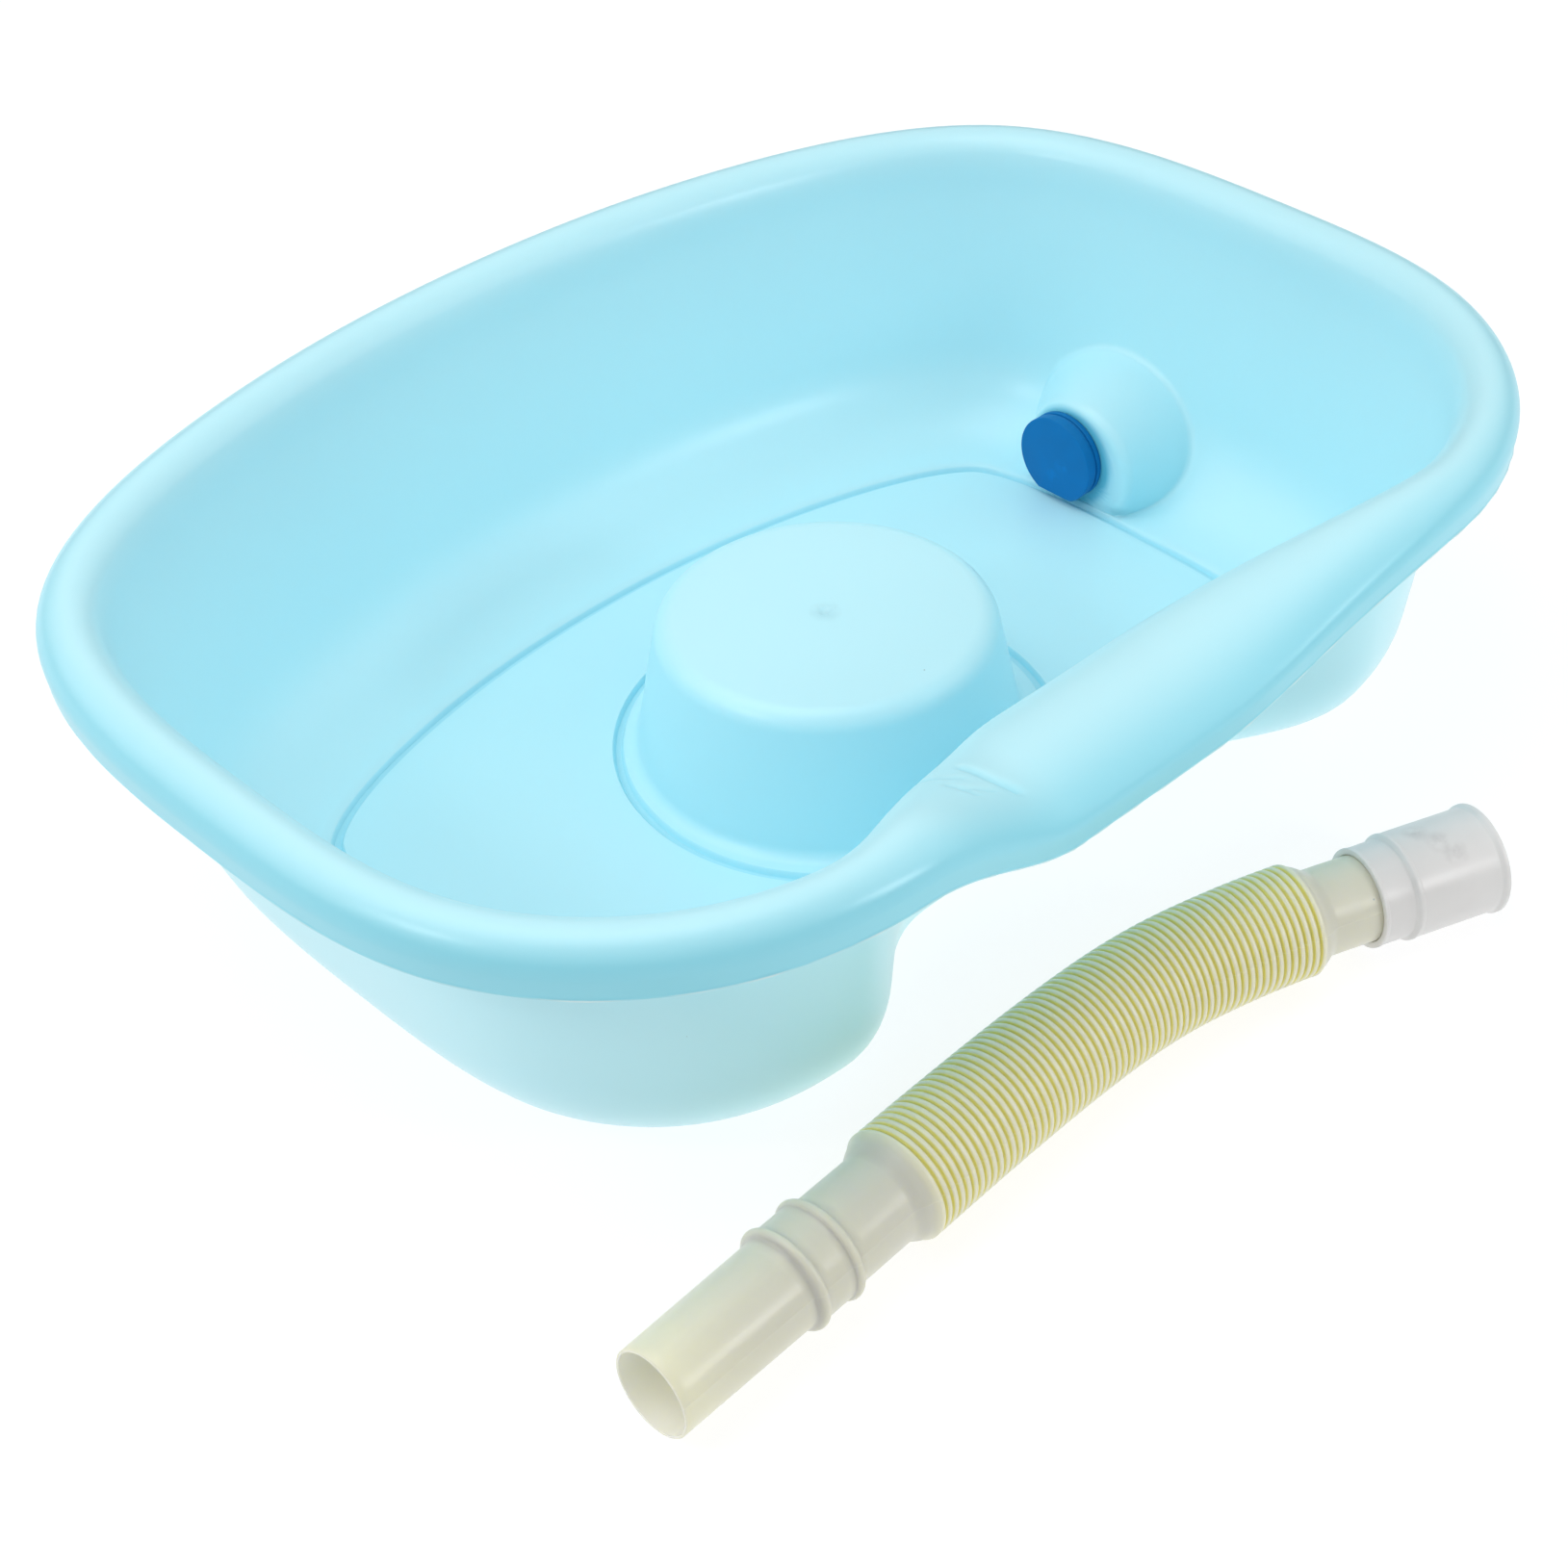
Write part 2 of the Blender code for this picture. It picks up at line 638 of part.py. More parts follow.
def make_hose():
    """The ribbed hose with its bore cut out by a plainer tube, its origin half way along."""
    at = route_reader()
    sections = hose_sections()
    total = sections[-1][0]
    middle = at(total / 2)
    hose = add_tube("drain_hose", [(at(where), radius) for where, radius in sections],
                    middle, material("hose_cream", CREAM, 0.38, 0.0))
    bore_radius = min(radius for where, radius in sections) - HOSE_WALL
    count = round(total / BORE_STEP)
    bore = [(at(total * k / count), bore_radius) for k in range(count + 1)]
    first_way = (bore[0][0] - bore[1][0]).normalized()
    last_way = (bore[-1][0] - bore[-2][0]).normalized()
    bore[0] = (bore[0][0] + first_way * CUT_OVERRUN, bore_radius)
    bore[-1] = (bore[-1][0] + last_way * CUT_OVERRUN, bore_radius)
    cutter = add_tube("cutter_hose_bore", bore, middle)
    add_boolean(hose, cutter, "DIFFERENCE")
    return hose


def make_coupling():
    """Turned adapter pushed over the far cuff, its origin on the cuff's axis."""
    at = route_reader()
    total = hose_sections()[-1][0]
    mouth = -FAR_CUFF_HELD
    narrow = mouth + COUPLING_NARROW_LENGTH
    end = mouth + COUPLING_NARROW_LENGTH + COUPLING_WIDE_LENGTH
    grip = FAR_CUFF_RADIUS + SLIP_GAP
    stop = MESH_GAP + COUPLING_STOP
    step = COUPLING_WIDE_RADIUS - COUPLING_NARROW_RADIUS
    profile = [
        (mouth, grip),
        (mouth, COUPLING_NARROW_RADIUS),
        (narrow, COUPLING_NARROW_RADIUS),
        (narrow + step, COUPLING_WIDE_RADIUS),
        (end - COUPLING_FLARE_LENGTH, COUPLING_WIDE_RADIUS),
        (end - COUPLING_FLARE_LENGTH / 2, COUPLING_FLARE_RADIUS),
        (end, COUPLING_FLARE_RADIUS),
        (end, COUPLING_WIDE_RADIUS - COUPLING_WALL),
        (stop, COUPLING_WIDE_RADIUS - COUPLING_WALL),
        (stop, FAR_CUFF_RADIUS - HOSE_WALL),
        (MESH_GAP, FAR_CUFF_RADIUS - HOSE_WALL),
        (MESH_GAP, grip),
    ]
    coupling = add_object("hose_coupling", build_turned_tube(profile, COUPLING_SIDES),
                          material("coupling_milky", MILKY, 0.30, 0.0))
    place = at(total)
    way = (at(total) - at(total - FAR_CUFF_HELD)).normalized()
    turn = math.atan2(way.y, way.x)
    coupling.location = place
    coupling.rotation_euler = (0.0, 0.0, turn)
    return coupling


def main():
    clear_scene()
    make_basin()
    make_plug()
    make_hose()
    make_coupling()


main()
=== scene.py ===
"""Looks of the portable shampoo basin: a moulded shell with its neck rest, pedestal and
drain boss, the rubber drain plug, the ribbed drain hose and its coupling.

Laid out as an add-on and run as a script. Metres, +Z up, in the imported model's frame."""
import math

import bmesh
import bpy
import numpy as np
from bpy.props import FloatProperty, FloatVectorProperty, IntProperty, PointerProperty
from mathutils import Matrix, Vector
from mathutils.bvhtree import BVHTree


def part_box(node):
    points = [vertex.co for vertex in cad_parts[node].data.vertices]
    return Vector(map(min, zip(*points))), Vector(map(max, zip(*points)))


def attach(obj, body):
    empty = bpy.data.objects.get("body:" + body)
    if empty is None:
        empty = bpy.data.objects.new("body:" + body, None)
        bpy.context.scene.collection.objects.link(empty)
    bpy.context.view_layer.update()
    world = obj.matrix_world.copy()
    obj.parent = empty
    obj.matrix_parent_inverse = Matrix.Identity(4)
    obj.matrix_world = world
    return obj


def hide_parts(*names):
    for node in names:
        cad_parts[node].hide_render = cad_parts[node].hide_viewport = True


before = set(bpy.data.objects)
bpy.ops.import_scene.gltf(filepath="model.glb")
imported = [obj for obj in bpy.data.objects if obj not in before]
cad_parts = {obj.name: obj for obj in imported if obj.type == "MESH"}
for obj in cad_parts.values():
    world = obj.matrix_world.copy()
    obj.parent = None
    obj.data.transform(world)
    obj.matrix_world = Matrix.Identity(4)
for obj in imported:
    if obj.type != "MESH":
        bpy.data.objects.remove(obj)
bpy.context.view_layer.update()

bl_info = {
    "name": "Shampoo Basin",
    "version": (1, 0, 0),
    "blender": (4, 5, 0),
    "location": "View3D > Sidebar > Basin",
    "description": "Portable shampoo basin with its drain plug, ribbed hose and coupling",
    "category": "Add Mesh",
}

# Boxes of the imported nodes, from which the sizes below take their defaults
SHELL_LOW, SHELL_HIGH = (Vector(corner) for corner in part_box("basin_shell"))
HOSE_LOW, HOSE_HIGH = (Vector(corner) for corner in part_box("drain_hose"))
PLUG_LOW, PLUG_HIGH = (Vector(corner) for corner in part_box("drain_plug"))

# Plan of the lip's centreline, back centre round to front centre, as shares of
# its half length and half depth
RIM_PLAN_SHARES = (
    (0.0, 1.0),
    (0.505, 0.914),
    (0.907, 0.608),
    (1.0, -0.122),
    (0.946, -0.609),
    (0.791, -0.873),
    (0.598, -0.990),
    (0.300, -1.0),
    (0.0, -1.0),
)
STATIONS = 288
PLAN_FINENESS = 2400
SPLINE_FINENESS = 300
FRONT_CROWDING = 0.3
MARK_CROWDING = 4.0
MARK_MIDDLE = (-0.088, -0.192)
MARK_SPREAD = 0.022

# Rolled lip
LIP_SKIRT = 0.0085
LIP_SKIRT_DRAFT = 0.0008
LIP_STEPS = 52
LIP_DRY_STEPS = 22
LIP_END_TURN = math.radians(156)
LIP_JOINT_REACH = 0.014
SKIRT_STEPS = 4
# Turns round the lip up to which the painted shade on its outer, lower side is full, and past which it is
# gone
LIP_SHADE_FULL = math.radians(12)
LIP_SHADE_END = math.radians(100)

# The skirt's rounded lower corner with its flash. Each ring: steps out and up as shares of
# the corner's size, then as shares of the flash's height
SKIRT_EDGE = 0.0006
SKIRT_EDGE_SHAPE = (
    (-1.6, 0.0, 0.0, 0.0),
    (-0.8, 0.0, 0.0, -0.2),
    (-0.1, 0.0, 0.0, -0.6),
    (0.0, 0.1, 1.0, 0.0),
    (0.0, 0.6, 0.9, 0.0),
    (0.05, 1.1, 0.0, 0.0),
)
FLASH_REACH = 0.0005
FLASH_RINGS = slice(2, 5)
FLASH_BACK = 0.25
FLASH_FRONT_Y = -0.12

# Ripples of the flash: (share of its height, waves along X, waves along Y, start)
FLASH_RIPPLES = ((0.28, 410, 170, 0.0), (0.22, 930, -510, 1.3))

# Wall, floor and the soft grooves that stand below as ridges
FOOT_HEIGHT = 0.0020
FLOOR_INSET = 0.077
LOBE_FLOOR_INSET = 0.066
LOBE_BEARING = math.radians(-110)
WALL_FOOT_RADIUS = 0.048
JOINT_STEPS = 6
WALL_STEPS = 14
FOOT_STEPS = 14
GROOVE_WIDTH = 0.0056
GROOVE_FLANK_SHARE = 0.55
GROOVE_DEPTH = 0.0026
GROOVE_SPREAD = 0.25
GROOVE_STEPS = 12
GROOVE_GAP = 0.0005
FLOOR_STEPS = 6
CORNER_STEPS = 3
CORNER_MOST = 0.45
MITRE_LEAST = 0.5

# Neck rest in the middle of the front: the lip dips, widens and draws in the wall's foot
NECK_REST_CROWN = 0.0128
NECK_FLOOR_INSET = 0.0850
NECK_FOOT_RADIUS = 0.012
DIP_LEFT = (0.061, 0.138)
DIP_RIGHT = (0.011, 0.150)
WIDTH_LEFT = (0.045, 0.167)
WIDTH_RIGHT = (0.011, 0.170)
FOOT_DRAWN = (0.054, 0.146)

# Sink marks and a fold that the moulding shows on the neck rest: (places, half width, depth),
# and the lowest place that they reach
SINK_MARKS = (
    (((-0.0812, -0.1720), (-0.0805, -0.1840), (-0.0777, -0.1939)), 0.0019, 0.0016),
    (((-0.0982, -0.1815), (-0.0962, -0.1865), (-0.0938, -0.1916)), 0.0010, 0.0012),
    (((-0.0950, -0.1857), (-0.0900, -0.1890), (-0.0850, -0.1914)), 0.0011, 0.0008),
    (((-0.0983, -0.1703), (-0.0944, -0.1743), (-0.0889, -0.1794)), 0.0018, 0.0009),
)
SINK_LOWEST = 0.114

# Head pedestal
PEDESTAL_Y = -0.0183
PEDESTAL_EDGE = 0.0100
PEDESTAL_FOOT = 0.0060
RING_RADIUS = 0.0915
RING_SHIFT = (0.0012, -0.0024)
GATE_RADIUS = 0.0034
GATE_DEPTH = 0.0009
GATE_SHAPE = ((1.0, 0.0), (0.75, 0.35), (0.5, 0.85), (0.25, 1.0))
PEDESTAL_HEIGHT = 0.0670
PEDESTAL_STEPS = 12
PEDESTAL_SIDE_STEPS = 5
PEDESTAL_TOP_SHARES = (0.75, 0.5, 0.28, 0.14)

# Drain boss, its bore and the sleeve behind it
DRAIN_Y = (PLUG_LOW.y + PLUG_HIGH.y) / 2
DRAIN_Z = 0.0272
PLAIN_BORE = 0.0170
BOSS_FACE_X = 0.2008
BOSS_EDGE_DEPTH = 0.0050
BOSS_EDGE_REACH = 0.0052
BOSS_CENTRE = (-0.0058, -0.0051)
BOSS_LEAN = (0.301, -0.466)
BOSS_FLARE = 0.505
BOSS_FILLET = 0.0032
RECESS_FILLET = 0.0022
SLEEVE_LENGTH = 0.0400
WINDOW_HALF_WIDTH = 0.058
WINDOW_TOP = 0.088
BOSS_SECTION_STEPS = (5, 9, 10, 8, 12)
BOSS_LINE_POINTS = 700
BOSS_SIDE_POINTS = 24
BORE_LIP_SHARE = 0.25
WALL_START = 0.2
FILLET_OF_BOSS = 0.45
FILLET_OF_WALL = 0.6
FACE_MOST = 0.4
EDGE_MOST = 0.7
LEAST_SECTION = 0.0004
WALL_SAMPLES = 60
BORE_STEPS = 5
SHADE_DEPTH = 0.0022
SHADE_SHIFT = (-0.0018, -0.0008)
SHADE_FULL = 0.0215
SHADE_END = 0.0262
FOOT_GAP = 0.0004
FOOT_SOFTENED = 0.005
SOFT_ROWS = 9
SOFT_TURNS = 5
SOFT_SHARE = 0.5

# Drain plug
PLUG_FRONT_THICKNESS = 0.0052
PLUG_GROOVE_RADIUS = 0.0199
PLUG_GROOVE_WIDTH = 0.0010
PLUG_FLANGE_RADIUS = 0.0209
PLUG_FLANGE_THICKNESS = 0.0026
PLUG_STEM_LENGTH = 0.0150
PLUG_EDGE = 0.0006
PLUG_SIDES = 96
PLUG_SCUFFS = ((-0.004, -0.002), (0.001, -0.009))

# Drain hose, measured from its plain end
HOSE_PLAIN_LENGTH = 0.0593
HOSE_PLAIN_TAPER = 0.0006
HOSE_PLAIN_EDGE = 0.0003
HOSE_END_SLANT = 0.0008
HOSE_SLANT_REACH = 0.006
HOSE_SLANT_TURN = 0.6
HOSE_END_REACH = 0.003
COLLAR_LENGTH = 0.0205
COLLAR_RADIUS = 0.0185
COLLAR_BEAD_RADIUS = 0.0200
COLLAR_BEAD_WIDTH = 0.0040
COLLAR_STEP = 0.0009
BEAD_FULLNESS = 0.7
CUFF_RADIUS = 0.0174
CUFF_LENGTH = 0.0260
SHOULDER_LENGTH = 0.0080
BELLOWS_ROOT = 0.0206
BELLOWS_PITCH = 0.00335
FAR_CUFF_RADIUS = 0.0169
FAR_CUFF_SHOWN = 0.0185
FAR_CUFF_HELD = 0.0240
HOSE_SIDES = 72
# Steps along the plain end, a bead, between the beads, the cuff, the shoulders and the far cuff
PLAIN_STEPS = 14
BEAD_STEPS = 8
COLLAR_STEPS = 4
CUFF_STEPS = 7
SHOULDER_STEPS = 8
FAR_CUFF_STEPS = 8
CENTRE_STEPS = 90
ROUTE_FINENESS = 8
SEAM_TURNS = (math.radians(159), math.radians(339))
SEAM_HALF_WIDTH = math.radians(1.0)
SEAM_HEIGHT = 0.00012

# One rib: (share of the pitch, share of the rib's height, share of the painted yellow shade between the
# ribs). The first rib rises from the shoulder and the last falls to it without the rows counted below
RIB_SHAPE = (
    (0.0, 0.0, 1.0),
    (0.11, 0.05, 0.95),
    (0.19, 0.45, 0.80),
    (0.26, 0.88, 0.20),
    (0.38, 1.0, 0.0),
    (0.62, 1.0, 0.0),
    (0.74, 0.88, 0.20),
    (0.81, 0.45, 0.80),
    (0.89, 0.05, 0.95),
)
RIB_RISE_ROWS = 3
RIB_FALL_ROWS = 2

# The hose's axis on the table, from its far cuff to its plain end
HOSE_ROUTE = (
    (0.0780, -0.2603),
    (0.0535, -0.2512),
    (0.0290, -0.2421),
    (0.0118, -0.2363),
    (-0.0085, -0.2307),
    (-0.0307, -0.2260),
    (-0.0530, -0.2236),
    (-0.0765, -0.2229),
    (-0.1000, -0.2231),
    (-0.1240, -0.2239),
    (-0.1480, -0.2250),
    (-0.1720, -0.2263),
    (-0.1960, -0.2276),
    (-0.2200, -0.2289),
    (-0.2440, -0.2302),
    (-0.2680, -0.2315),
    (-0.2860, -0.2325),
)

# Coupling on the hose's far cuff
COUPLING_NARROW_RADIUS = 0.0193
COUPLING_NARROW_LENGTH = 0.0130
COUPLING_WIDE_RADIUS = 0.0207
COUPLING_WIDE_LENGTH = 0.0400
COUPLING_FLARE_RADIUS = 0.0217
COUPLING_FLARE_LENGTH = 0.0030
COUPLING_WALL = 0.0016
COUPLING_STOP = 0.0016
COUPLING_BEAD = 0.0003
COUPLING_BEAD_WIDTH = 0.0014
COUPLING_EDGE = 0.0004
COUPLING_SMUDGES = ((0.006, 0.004, 0.0205), (0.010, 0.010, 0.018), (0.001, -0.004, 0.0205))
COUPLING_SIDES = 96

# Clearances
MESH_GAP = 0.0003
SLIP_GAP = 0.0002
WELD = 0.00001

# Camera, fitted to the photograph's rim, pedestal and hose
CAMERA_LENS = 61.24
CAMERA_SENSOR = 36.0
CAMERA_SHIFT = (-0.00799, -0.01547)
CAMERA_TARGET = (-0.08119, -0.08704, 0.07600)
CAMERA_DISTANCE = 0.99282
CAMERA_BEARING = math.radians(-41.617)
CAMERA_RISE = math.radians(39.131)
CAMERA_ROLL = math.radians(-3.14)
FLOOR_HALF_SIZE = 3.0
FLOOR_SHADE = 0.30
FLOOR_SEEN = 0.80
FLOOR_GRAIN_SCALE = 300.0
FLOOR_GRAIN_SHADE = 0.97

# Three wide lights and two compact ones that give the glints: (name, setting that holds the
# power, place, width)
LIGHTS = (
    ("key_overhead", "key_power", (-0.3, 0.3, 1.8), 1.6),
    ("wide_back", "back_power", (-1.30, 1.14, 1.08), 1.8),
    ("wide_front", "fill_power", (1.14, -1.31, 1.08), 1.8),
    ("side_glint", "side_power", (-1.14, 0.12, 0.98), 0.30),
    ("front_glint", "front_power", (0.40, -1.41, 0.62), 0.32),
)

# Heights between which the surround goes from dark at the horizon to its full light
HORIZON = (0.08, 0.45)

# Moulded skin: its inputs with their defaults, and the draw above which a cell has a speck
SKIN_INPUTS = (
    ("Wave Scale", 9.0),
    ("Wave Depth", 0.5),
    ("Skin Scale", 900.0),
    ("Skin Depth", 0.1),
    ("Speck Scale", 60.0),
    ("Speck Size", 0.05),
)
SPECK_RARITY = 0.93


def length_prop(name, description, default):
    """A length that a user may change."""
    return FloatProperty(name=name, description=description, default=default, unit="LENGTH")


def colour_prop(name, description, default):
    """A colour that a user may change."""
    return FloatVectorProperty(name=name, description=description, default=default,
                               size=3, subtype="COLOR", min=0, max=1)


def power_prop(name, description, default):
    """A light's power that a user may change."""
    return FloatProperty(name=name, description=description, default=default, min=0, unit="POWER")


class BasinSizes(bpy.types.PropertyGroup):
    """Sizes of the moulded shell."""
    length: length_prop("Length", "Outer length of the rim", SHELL_HIGH.x - SHELL_LOW.x)
    depth: length_prop("Depth", "Outer depth of the rim", SHELL_HIGH.y - SHELL_LOW.y)
    rim_height: length_prop("Rim height", "Height of the lip's crown", SHELL_HIGH.z)
    wall: length_prop("Wall", "Thickness of the moulding", 0.0024)
    lip_radius: length_prop("Lip radius", "Radius of the rolled lip", 0.0123)
    neck_dip: length_prop("Neck dip", "How far the lip is lowered at the neck rest", 0.0234)
    neck_rest_width: length_prop("Neck rest width", "Width of the lip at the neck rest", 0.0617)
    pedestal_height: length_prop("Pedestal height", "Height of the head pedestal's top", PEDESTAL_HEIGHT)
    pedestal_top_radius: length_prop("Pedestal top", "Radius of the pedestal's top", 0.0712)
    pedestal_base_radius: length_prop("Pedestal base", "Radius of the pedestal's base", 0.0805)
    boss_side_radius: length_prop("Boss side", "Radius of the drain boss behind its face", 0.0319)


class HoseSizes(bpy.types.PropertyGroup):
    """Sizes of the drain hose."""
    plain_radius: length_prop("Plain end", "Radius of the end that fits the drain", 0.0166)
    wall: length_prop("Wall", "Thickness of the hose's wall", 0.0011)
    crest_radius: length_prop("Crest", "Radius over the ribs", (HOSE_HIGH.z - HOSE_LOW.z) / 2)
    ribs: IntProperty(name="Ribs", description="Number of ribs", default=60, min=1, max=200)


class PlugSizes(bpy.types.PropertyGroup):
    """Sizes of the drain plug."""
    front_radius: length_prop("Front radius", "Radius of the plug's front disc", 0.0210)
    flat_drop: length_prop("Flat", "Distance of the flat below the axis", 0.0184)


class Finishes(bpy.types.PropertyGroup):
    """Colours and gloss of the four mouldings, with the painted shade and light that some of them carry."""
    basin: colour_prop("Basin", "Colour of the moulded shell", (0.530, 0.882, 0.980))
    # Paler colour of the thin flash, partly its own thin plastic and partly a painted highlight along the
    # skirt's edge
    basin_flash_and_glint: colour_prop("Flash", "Colour of thin edges and flash", (0.74, 0.93, 0.95))
    # Painted shade on the lip's outer, lower side, which the light from above leaves darker
    basin_lip_shade: colour_prop("Thick lip", "Colour of the lip's thick outer side", (0.240, 0.690, 0.825))
    basin_shade: colour_prop("Behind the plug", "Colour of the boss close round the plug",
                             (0.050, 0.520, 0.680))
    # Painted shade deep in the shell's grooves and sink marks
    basin_hollow_shade: colour_prop("Hollows", "Colour deep in the shell's grooves", (0.330, 0.760, 0.900))
    smudge: colour_prop("Smudges", "Colour of the smudges on the coupling", (0.42, 0.40, 0.40))
    dirt: colour_prop("Dirt", "Colour of the small specks", (0.16, 0.27, 0.29))
    plug: colour_prop("Plug", "Colour of the rubber plug", (0.001, 0.170, 0.460))
    hose: colour_prop("Hose", "Colour of the hose's crests and cuffs", (0.735, 0.722, 0.565))
    # Painted light inside the hose, lighter than its wall, for light coming through the translucent wall
    hose_bore_light: colour_prop("Hose bore", "Colour inside the hose", (0.88, 0.87, 0.76))
    # Painted yellow shade between the ribs, for the shadow in the translucent hose's grooves
    hose_groove_shade: colour_prop("Hose grooves", "Colour between the ribs", (0.820, 0.745, 0.220))
    coupling: colour_prop("Coupling", "Colour of the milky coupling", (0.770, 0.766, 0.757))
    gloss_roughness: FloatProperty(name="Gloss roughness", description="Roughness of the glossy shell",
                                   default=0.305, min=0, max=1, subtype="FACTOR")


class StudioSettings(bpy.types.PropertyGroup):
    """Light and floor."""
    surround: FloatProperty(name="Surround", description="Brightness of the white surround",
                            default=0.56, min=0)
    key_power: power_prop("Key light", "Power of the large light overhead", 10.0)
    back_power: power_prop("Back light", "Power of the wide light behind at the left", 7.5)
    fill_power: power_prop("Fill light", "Power of the wide light in front at the right", 5.5)
    side_power: power_prop("Side light", "Power of the compact light at the left", 2.2)
    front_power: power_prop("Front light", "Power of the compact light at the front", 3.6)
    floor_bounce: FloatProperty(name="Floor bounce", description="Light that the floor adds to the object",
                                default=0.81, min=0)
    floor: colour_prop("Floor", "Colour of the floor", (0.98, 0.98, 0.98))


# Curves and profiles


def spline_points(points, closed, count):
    """Evenly spaced points on a smooth cubic curve through the given points."""
    pts = np.array(points, dtype=float)
    if closed:
        pts = np.vstack([pts, pts[:1]])
    step = np.linalg.norm(np.diff(pts, axis=0), axis=1)
    knots = np.concatenate([[0.0], np.cumsum(step)])
    last = len(pts) - 1
    size = last if closed else last + 1
    system = np.zeros((size, size))
    target = np.zeros((size, pts.shape[1]))
    slope = np.diff(pts, axis=0) / step[:, None]
    for i in range(size):
        if not closed and i in (0, last):
            system[i, i] = 1.0
            continue
        before, after = step[i - 1], step[i % last]
        system[i, (i - 1) % size] += before
        system[i, i] += 2 * (before + after)
        system[i, (i + 1) % size] += after
        target[i] = 6 * (slope[i % last] - slope[i - 1])
    bend = np.linalg.solve(system, target)
    if closed:
        bend = np.vstack([bend, bend[:1]])
    fine = np.linspace(0.0, knots[-1], SPLINE_FINENESS * last + 1)
    span = np.clip(np.searchsorted(knots, fine, side="right") - 1, 0, last - 1)
    h = step[span][:, None]
    a = ((knots[span + 1] - fine)[:, None]) / h
    b = 1.0 - a
    curve = a * pts[span] + b * pts[span + 1]
    curve += ((a ** 3 - a) * bend[span] + (b ** 3 - b) * bend[span + 1]) * h ** 2 / 6
    run = run_lengths(curve)
    turn = np.linspace(0.0, 1.0, count + 1)[:count] if closed else np.linspace(0.0, 1.0, count)
    return points_along(curve, run[-1] * turn)


def run_lengths(path):
    """Distance along a path at each of its points."""
    path = np.asarray(path, dtype=float)
    return np.concatenate([[0.0], np.cumsum(np.linalg.norm(np.diff(path, axis=0), axis=1))])


def points_along(path, where):
    """Points at the given distances along a path."""
    path = np.asarray(path, dtype=float)
    run = run_lengths(path)
    return np.column_stack([np.interp(where, run, path[:, k]) for k in range(path.shape[1])])


def rim_plan(sizes):
    """Lip centreline in plan and its outward directions, one row for each station. Stations
    stand closer together along the front, and closest at the marks on the neck rest."""
    half_length = sizes.length / 2 - sizes.lip_radius
    half_depth = sizes.depth / 2 - sizes.lip_radius
    half = [(x * half_length, y * half_depth) for x, y in RIM_PLAN_SHARES]
    mirrored = [(-x, y) for x, y in reversed(half[1:-1])]
    plan = spline_points(half + mirrored, True, PLAN_FINENESS)
    low, high = plan.min(axis=0), plan.max(axis=0)
    plan = (plan - (low + high) / 2) / (high - low) * (2 * half_length, 2 * half_depth)
    along = np.roll(plan, -1, axis=0) - np.roll(plan, 1, axis=0)
    outward = np.column_stack([along[:, 1], -along[:, 0]])
    outward /= np.linalg.norm(outward, axis=1)[:, None]
    if (outward * plan).sum() < 0:
        outward = -outward
    from_marks = np.hypot(plan[:, 0] - MARK_MIDDLE[0], plan[:, 1] - MARK_MIDDLE[1]) / MARK_SPREAD
    crowd = 1 + FRONT_CROWDING * np.clip(-plan[:, 1] / half_depth, 0, 1)
    crowd += MARK_CROWDING * np.exp(-from_marks ** 2)
    counted = np.concatenate([[0.0], np.cumsum(crowd)])
    where = np.interp(counted[-1] * np.arange(STATIONS) / STATIONS, counted, np.arange(len(counted)))
    rows = np.vstack([np.hstack([plan, outward]), np.hstack([plan[:1], outward[:1]])])
    rows = np.column_stack([np.interp(where, np.arange(len(rows)), rows[:, k]) for k in range(4)])
    outward = rows[:, 2:] / np.linalg.norm(rows[:, 2:], axis=1)[:, None]
    return rows[:, :2], outward


def ease(value, end, flat):
    """0 from the end outwards, 1 from the flat inwards, smooth between."""
    t = min(max((end - value) / (end - flat), 0.0), 1.0)
    return t * t * (3 - 2 * t)


def lobe_share(way):
    """How fully a stretch of wall faces the way in which the floor reaches furthest out."""
    towards = way[0] * math.cos(LOBE_BEARING) + way[1] * math.sin(LOBE_BEARING)
    return max(towards, 0.0) ** 2


def neck_shares(point):
    """How far the lip is lowered and widened, and the wall's foot drawn in, at a point."""
    if point[1] > 0:
        return 0.0, 0.0, 0.0
    away = abs(point[0])
    dip, width = (DIP_LEFT, WIDTH_LEFT) if point[0] < 0 else (DIP_RIGHT, WIDTH_RIGHT)
    return tuple(ease(away, end, flat) for flat, end in (dip, width, FOOT_DRAWN))


def mix(plain, neck, share):
    return plain + (neck - plain) * share


def stretch(start, end, steps):
    """Points that divide a line, without its start."""
    a, b = np.asarray(start, dtype=float), np.asarray(end, dtype=float)
    return [tuple(a + (b - a) * k / steps) for k in range(1, steps + 1)]


def smooth_joint(start, start_way, end, end_way, steps):
    """Points on a curve that leaves one line and joins another, without its ends."""
    a, b = np.asarray(start, dtype=float), np.asarray(end, dtype=float)
    reach = np.linalg.norm(b - a) / 3
    c = a + np.asarray(start_way, dtype=float) * reach
    d = b - np.asarray(end_way, dtype=float) * reach
    joint = []
    for k in range(1, steps):
        t = k / steps
        s = 1 - t
        joint.append(tuple(a * s ** 3 + c * 3 * s * s * t + d * 3 * s * t * t + b * t ** 3))
    return joint


def rounded(points, radius):
    """A line of points with each inner corner rounded off."""
    pts = [np.array(p, dtype=float) for p in points]
    out = [tuple(pts[0])]
    for before, corner, after in zip(pts, pts[1:], pts[2:]):
        to_before = np.linalg.norm(before - corner)
        to_after = np.linalg.norm(after - corner)
        a = corner + (before - corner) * min(radius / to_before, CORNER_MOST)
        b = corner + (after - corner) * min(radius / to_after, CORNER_MOST)
        for k in range(CORNER_STEPS + 1):
            t = k / CORNER_STEPS
            out.append(tuple(a * (1 - t) ** 2 + corner * 2 * t * (1 - t) + b * t * t))
    out.append(tuple(pts[-1]))
    return out


